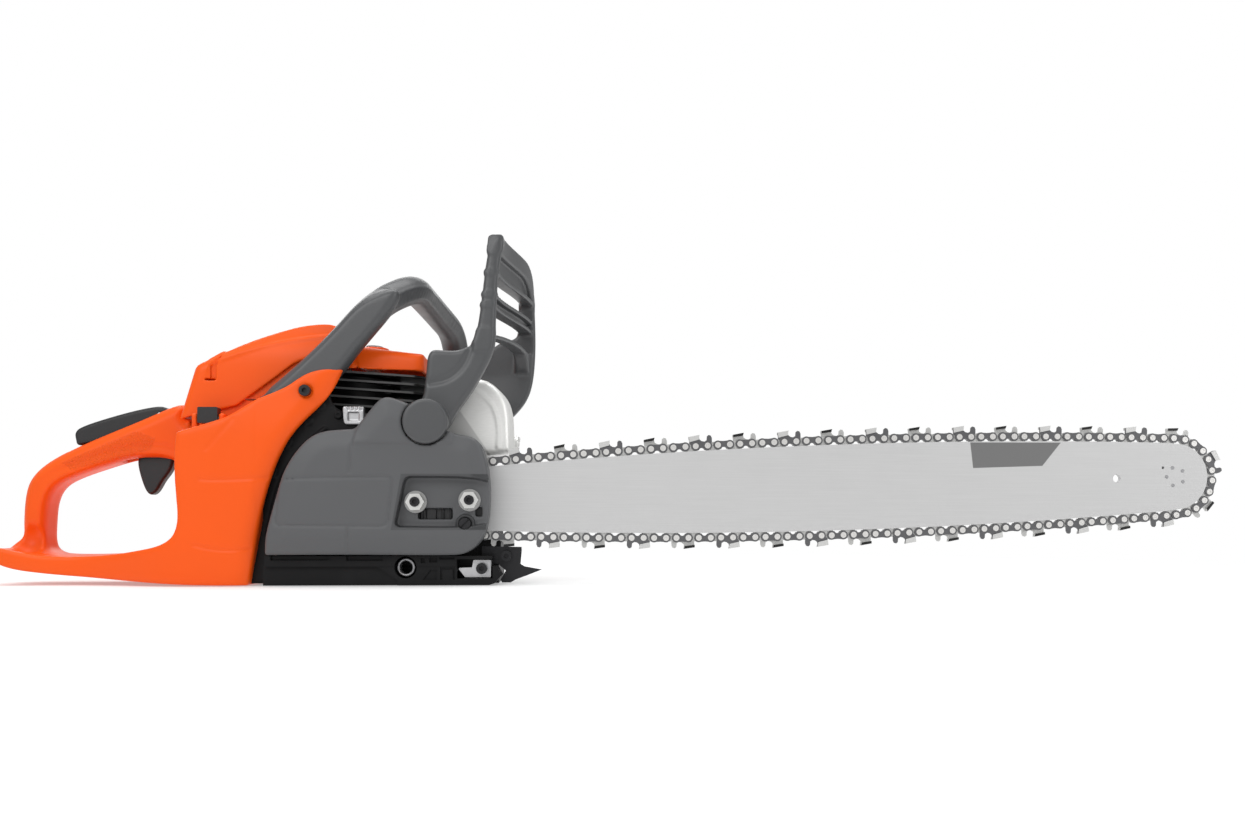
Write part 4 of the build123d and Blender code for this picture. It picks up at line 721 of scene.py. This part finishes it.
def front_bow():
    """Bent handle bar with its flat leg and the twin ridges of its sleeve."""
    c = Clay((-97, -29, -3), (94, 180, 270), STEP * 1.25)
    route = curve(HANDLE_ROUTE, {1: 26, 2: 22, 3: 20, 4: 26, 5: 20, 6: 24, 7: 40, 8: 26, 9: 16},
                  closed=False, samples=10)
    c.add(c.bar(route, 12.3, np.array((0.75, -0.6, -0.25))), 0.1)
    leg = c.flat([(-92, 152), (-64, 152.6), (-48, 162), (-32, 178), (-8, 203), (15.5, 230), (40, 245),
                  (50, 238), (36, 217), (16, 195), (4, 178), (-8, 164), (-27, 155.6), (-47, 154),
                  (-66, 151)], {0: 1, 1: 6})
    c.add(c.slab(leg, -25, -3 - 0.10 * (c.x + 40), 7), 8)
    c.d = np.maximum(c.d, -25 - c.y)
    c.d = np.maximum(c.d, 0.2 - c.z)
    return c.piece("bow_sleeve", "handle_gray", "root", "front_handle")


# ---------------------------------------------------------------- hand guard
PIVOT = (70.4, 131.9)


def guard_frame():
    """Ladder-like guard: two posts, a deep top, two windows, an arch and a round cap over the pivot."""
    c = Clay((49, -48, 110), (160, 107, 290), STEP)
    px, pz = PIVOT
    arm = c.flat([(px - 14, pz - 10), (px + 3, pz - 17), (px + 17, pz - 4), (95.7, 143.8), (101.6, 151),
                  (109.9, 163.5), (117.1, 176.3), (123, 188), (125.6, 200), (125.4, 215), (126.4, 240),
                  (128, 258), (131.5, 278), (130, 285), (125.5, 284), (121, 277), (117.8, 264), (115.2, 241),
                  (112.2, 217), (109.4, 203), (104, 194.5), (95, 190.6), (84, 191), (74, 191.6), (70.6, 186),
                  (69.2, 168), (67, 150), (px - 16, pz + 8)], {23: 5, 24: 4})
    c.add(c.slab(arm, -31, -18.6 + 4 * ease((190 - c.z) / 40), 3.6), 0.2)
    post = c.flat([(px - 9, pz - 2), (px, pz - 10), (px + 12, pz - 6), (118, 134), (134.6, 150),
                   (146.2, 163.4), (152.4, 180), (155, 209), (154.4, 243), (153, 262), (149.5, 273),
                   (143, 276), (139.5, 266), (139, 240), (139, 227), (134, 222), (123, 220.5), (111, 211),
                   (101, 198), (91, 180), (82, 160), (px + 2, pz + 10)])
    c.add(c.slab(post, 96.5 - 3 * ease((190 - c.z) / 30), 103, 2.6), 0.2)
    across = ease((c.y + 31) / 134)
    front = 128.6 + 0.12 * (c.z - 255) + (24.5 - 0.06 * (c.z - 255)) * across
    rear = front - 12.5
    crown = 1.2 * np.sin(np.clip((c.y + 31) / 100, 0, 1) * math.pi)
    top = 285.2 + crown - 24 * np.clip((c.y - 52) / 50, 0, 1) ** 2.2
    panel = np.maximum(rear - c.x, c.x - front)
    span = np.maximum(-30 - c.y, c.y - 102)
    roof = rounded(panel, np.maximum(top - 15 - c.z, c.z - top), 2.6)
    c.add(np.maximum(roof, span), 3)
    web = rounded(np.maximum(rear + 4.5 - c.x, c.x - rear - 7), np.maximum(255 - c.z, c.z - 272), 1)
    c.add(np.maximum(web, span), 1.5)
    lows = ((253.2, 256.6), (235.6, 238.6), (227, 230))
    for low, high in lows:
        rib = rounded(panel, np.maximum(low - c.z, c.z - high), 1.1)
        c.add(np.maximum(rib, span), 2.5)
    web = rounded(np.maximum(rear + 4.5 - c.x, c.x - rear - 7), np.maximum(228 - c.z, c.z - 237.5), 1)
    c.add(np.maximum(web, span), 1.5)
    bow = 5.5 * np.sin(np.clip((c.y + 24) / 122, 0, 1) * math.pi)
    arch = 202 + bow - 10 * ease((-8 - c.y) / 16) - 12 * ease((c.y - 72) / 26)
    lintel = rounded(panel, np.maximum(arch - c.z, c.z - np.maximum(arch + 3.4, 208)), 1.3)
    c.add(np.maximum(lintel, span), 4)
    c.add(c.rod(px, pz, 18.0, -45, -30, 1.8), 1.0)
    c.take(c.rod(px, pz, 2.1, -33, 120, 0), 0.2)
    c.relief(c.flat([(106, 194), (100, 178), (88, 167), (73, 164)], closed=False), 4, -1.4, high=-15)
    return c.piece("guard_frame", "handle_gray", "guard", "hand_guard")


# ---------------------------------------------------------------- clutch cover
COVER_FACE = -42.0
# The bar points up by this much; the nuts sit on it a little below its middle line.
BAR_TILT = math.radians(1.94)
STUDS_ALONG_BAR, STUD_LOW = (61.5, 104.8), 1.5
TENSION_SCREW = (101.5, 50.2)


def side_cover():
    """Clutch cover with its raised brake housing, moulded panel and the recess for the bar nuts."""
    c = Clay((-61, -46, 20), (125, 9, 156), STEP)
    body = c.flat([(-57.2, 25), (-57, 40), (-52.5, 57), (-48.4, 71.7), (-43.7, 89), (-37, 102), (-29, 112.5),
                   (-21, 120), (-12, 124), (0, 125.5), (13.5, 126), (22, 136), (33, 150), (40, 152.3),
                   (50, 149), (64, 143.5), (80, 130), (92, 122.4), (106, 121), (113.5, 116), (117.5, 104),
                   (120, 91), (121, 76), (120, 55), (117, 41), (110, 31), (101, 25.6), (90, 24.5),
                   (50, 24.8), (0, 25.2)], {0: 2, 10: 3, 11: 3})
    depth = -body
    near = COVER_FACE + 2.6 * (1 - ease(depth / 16))
    housing = c.flat([(12.6, 114.6), (17, 129), (31, 151), (40, 160), (60, 160), (96, 150), (90, 114.4)],
                     {0: 2, 6: 2})
    near = near + 1.5 * ease((housing + 0.8) / 2.2)
    c.add(c.slab(body, near, 5, 3.4), 0.2)
    recess_back = c.flat([(51, 91), (122, 91), (122, 44), (41, 44)], straight=True)
    inner = np.maximum(near + 3 - c.y, body + 3)
    c.take(np.maximum(inner, -c.slab(recess_back, -60, -26, 0)), 0.6)
    recess = c.flat([(54, 87.9), (135, 87.2), (135, 47.0), (45.4, 47.6)], {0: 5, 3: 5})
    c.take(c.slab(recess, -60, -30, 2.2), 1.6)
    c.take(c.box((60, -9, 15), (135, 20, 119), 0), 0.4)
    c.take(c.box((-80, 0, 15), (140, 20, 60), 0), 0.4)
    c.take(c.box((50, -9, 15), (140, 9, 170), 0), 0.4)
    along, up = math.cos(BAR_TILT), math.sin(BAR_TILT)
    for u in STUDS_ALONG_BAR:
        x, z = u * along + STUD_LOW * up, CRANK_HEIGHT + u * up - STUD_LOW * along
        c.take(c.rod(x, z, 4.4, -50, 10, 0), 0.3)
    c.take(c.box((63.1, -34, 53.7), (90.8, -20, 62.5), 0.3), 0.5)
    c.take(c.box((109.3, -34, 56), (114.8, -20, 63.5), 0.3), 0.5)
    c.add(c.rod(*TENSION_SCREW, 7.6, -35, -26, 0.8), 1.5)
    c.take(c.rod(*TENSION_SCREW, 4.9, -60, -20, 0.3), 0.6)
    px, pz = PIVOT
    c.take(c.rod(px, pz, 18.9, -60, -29, 0.2), 0.6)
    c.take(c.rod(px, pz, 20.2, -31.8, -15.5, 0), 0.3)
    c.take(c.box((46, -31.8, 112), (140, -15.5, 170), 0), 0.3)
    panel = c.flat([(-46, 85), (-40, 86), (0, 87), (41.5, 87.6), (44.2, 85.3), (40.4, 50.4), (37, 48),
                    (-10, 48.4), (-49, 49)], {3: 3, 4: 3, 5: 3, 6: 3, 0: 4, 8: 4})
    c.relief(np.abs(panel), 1.6, -0.9, high=-36)
    for line in ([(11.9, 113.5), (10.2, 91)], [(8.8, 46), (8.4, 26)]):
        c.relief(c.flat(line, closed=False), 1.6, -0.7, high=-36)
    return c.piece("side_cover", "cover_gray", "root", "clutch_cover")


def slot_liner():
    """Dark ribbed plates seen through the two slots of the clutch cover."""
    c = Clay((58, -29, 50), (119, -21, 67), FINE)
    c.add(c.box((61.5, -24.5, 52), (92.4, -22.7, 63.2), 0.4), 0.1)
    c.add(c.box((107.8, -24.5, 54.8), (116.2, -22.7, 64.4), 0.4), 0.1)
    for x in (65, 82, 88.5):
        c.add(c.box((x, -26.6, 53), (x + 1.6, -23, 62.9), 0.3), 0.2)
    c.add(c.box((69.6, -27, 53), (77.4, -23, 62.9), 0.5), 0.2)
    return c.piece("slot_liner", "black_plastic", "root")


def bay_wall():
    """Dark wall with bosses and a rib between the fairing and the clutch cover, made black as painted shade
    for the deep engine bay.
    """
    c = Clay((-80, -22, -2), (22, -8, 162), STEP)
    wall = c.flat([(-76, 1.2), (-58, 1.2), (-57, 20), (-52, 50), (-46, 74), (-38, 98), (-24, 114), (-8, 124),
                   (12, 124), (14, 134), (0, 142), (-8, 147), (-11, 158), (-20, 158), (-36, 140), (-52, 118),
                   (-64, 90), (-72, 60), (-76, 36)], {0: 1, 1: 1})
    # Black wall that stands in for the shade deep in the engine bay.
    c.add(c.slab(wall, -16, -12, 1.5), 0.1)
    for x, z in ((-56, 92), (-44, 116), (-28, 134), (-18, 146)):
        c.add(c.rod(x, z, 4.2, -17.4, -12, 1), 1)
    rib = c.flat([(-60, 40), (-52, 80), (-36, 110), (-14, 128)], closed=False) - 1.6
    c.add(c.slab(rib, -17.5, -12, 0.8), 1)
    c.add(c.rod(-3, 139, 3.2, -20, -12, 0.6), 0.5)
    c.take(c.rod(-3, 139, 1.4, -24, -18.5, 0.2), 0.2)
    return c.piece("bay_wall", "black_casting", "root")


def bay_clamp():
    """Small ribbed casting in front of the cylinder's foot."""
    c = Clay((-5, -22, 128), (22, -10, 150), FINE)
    clamp = c.flat([(0.5, 146.2), (17.9, 146.2), (17.9, 131), (2, 131), (0.6, 138)], {0: 2, 1: 2, 2: 2, 3: 2})
    c.add(c.slab(clamp, -19, -13, 0.8), 0.1)
    c.take(c.box((5, -25, 134), (14, -17.4, 141), 0.6), 0.4)
    for x in (4.5, 7.9, 11.3, 14.7):
        c.take(c.box((x, -25, 143.2), (x + 1.3, -17.8, 150), 0.2), 0.2)
    return c.piece("bay_clamp", "bare_alloy", "root")


# ---------------------------------------------------------------- starter side
ROPE_AT = (27, 109)


def starter_shell():
    """Fan and starter housing with ring and ray louvres."""
    c = Clay((-66, 95, 8), (80, 134, 138), STEP)
    outline = c.flat([(-62, 12), (70, 12), (76, 30), (74, 92), (50, 124), (26, 134), (-30, 134), (-56, 116),
                      (-62, 96)], {0: 8, 1: 8, 2: 8, 8: 8})
    face = 130 - 4 * (1 - ease(-outline / 22))
    c.add(c.slab(outline, 98, face, 5), 0.2)
    c.take(np.maximum(outline + 2.8, c.y - face + 2.8), 0.5)
    away = np.hypot(c.x, c.z - CRANK_HEIGHT)
    turn = np.degrees(np.arctan2(c.z - CRANK_HEIGHT, c.x))
    ray = np.abs(((turn + 7.5) % 15) - 7.5) * np.radians(1) * away - 2.6
    slots = rounded(ray, np.abs(away - 42) - 9, 1.5)
    c.take(np.maximum(slots, 118 - c.y), 0.8)
    for ring, height in ((28, 1.4), (24, -1.0), (14, 1.2)):
        c.relief(np.abs(away - ring), 2.6, height, low=120)
    for x, z in ((-54, 22), (64, 22), (-56, 80), (64, 90)):
        c.add(c.rod(x, z, 6.2, 98, 127.5, 1), 1.5)
        c.take(c.rod(x, z, 5.0, 126, 140, 0.3), 0.5)
        c.take(c.rod(x, z, 2.8, 90, 140, 0), 0.3)
    c.add(c.rod(0, CRANK_HEIGHT, 5, 106, 128, 0), 0.5)
    rope = np.hypot(c.x - ROPE_AT[0], c.y - ROPE_AT[1]) - 4.5
    c.take(np.maximum(rope, 120 - c.z), 0.6)
    return c.piece("starter_shell", "orange_plastic", "root", "starter_housing")


# ---------------------------------------------------------------- muffler
def muffler_box():
    """Pressed two-part silencer with a folded seam."""
    c = Clay((34, 3, 100), (142, 88, 178), STEP)
    shell = [(66, 116), (73, 108.4), (124, 108.4), (136.5, 110), (135.8, 130), (135.2, 146), (131.5, 158),
             (122, 168.5), (112, 173.4), (90, 173.6), (73, 173), (66, 166)]
    box = c.flat(shell, {0: 5, 1: 5, 2: 8, 3: 3, 10: 5, 11: 5})
    c.add(c.slab(box, 6.5, 84, 6), 0.2)
    c.add(c.slab(box - 1.6, 43.2, 45.8, 0.8), 1.0)
    c.take(c.slab(box + 2.6, 9.1, 81.4, 4), 0.3)
    forward, height = math.sin(ENGINE_LEAN), math.cos(ENGINE_LEAN)
    along = c.x * height - (c.z - CRANK_HEIGHT) * forward
    up = c.x * forward + (c.z - CRANK_HEIGHT) * height
    neck = rounded(np.abs(along - 50.6) - 14, np.maximum(np.abs(up - 64) - 14, np.abs(c.y - 42) - 19), 1)
    port = np.maximum(np.abs(along - 50) - 17, np.maximum(np.abs(up - 64) - 9, np.abs(c.y - 42) - 14))
    c.add(neck, 1.5)
    c.take(port, 0.4)
    start = np.array((128, 62, 124.0))
    c.add(c.bar(np.array((start, start + (9.3, 0, -1.86))), 7.3), 1)
    c.take(c.bar(np.array((start - (10, 0, -2), start + (20, 0, -4))), 5.5), 0.5)
    dent = c.flat([(84, 166), (104, 166), (122, 152), (127, 132), (126, 116)], closed=False)
    c.relief(dent, 4, 1.1, high=14)
    return c.piece("muffler_shell", "muffler_sheet", "root", "muffler")


make_camera()
make_stage()
dress_cad_nodes()
handle_unit()
cover_shell()
front_bow()
guard_frame()
side_cover()
slot_liner()
bay_wall()
bay_clamp()
starter_shell()
muffler_box()
lever("trigger_blade", TRIGGER, None, 6.3, 3.0, "trigger", "throttle_trigger", (-160, 112))
lever("lockout_blade", LOCKOUT, {0: 3, 1: 3}, 8.2, 3.0, "lockout", "throttle_lockout", (-163, 143))
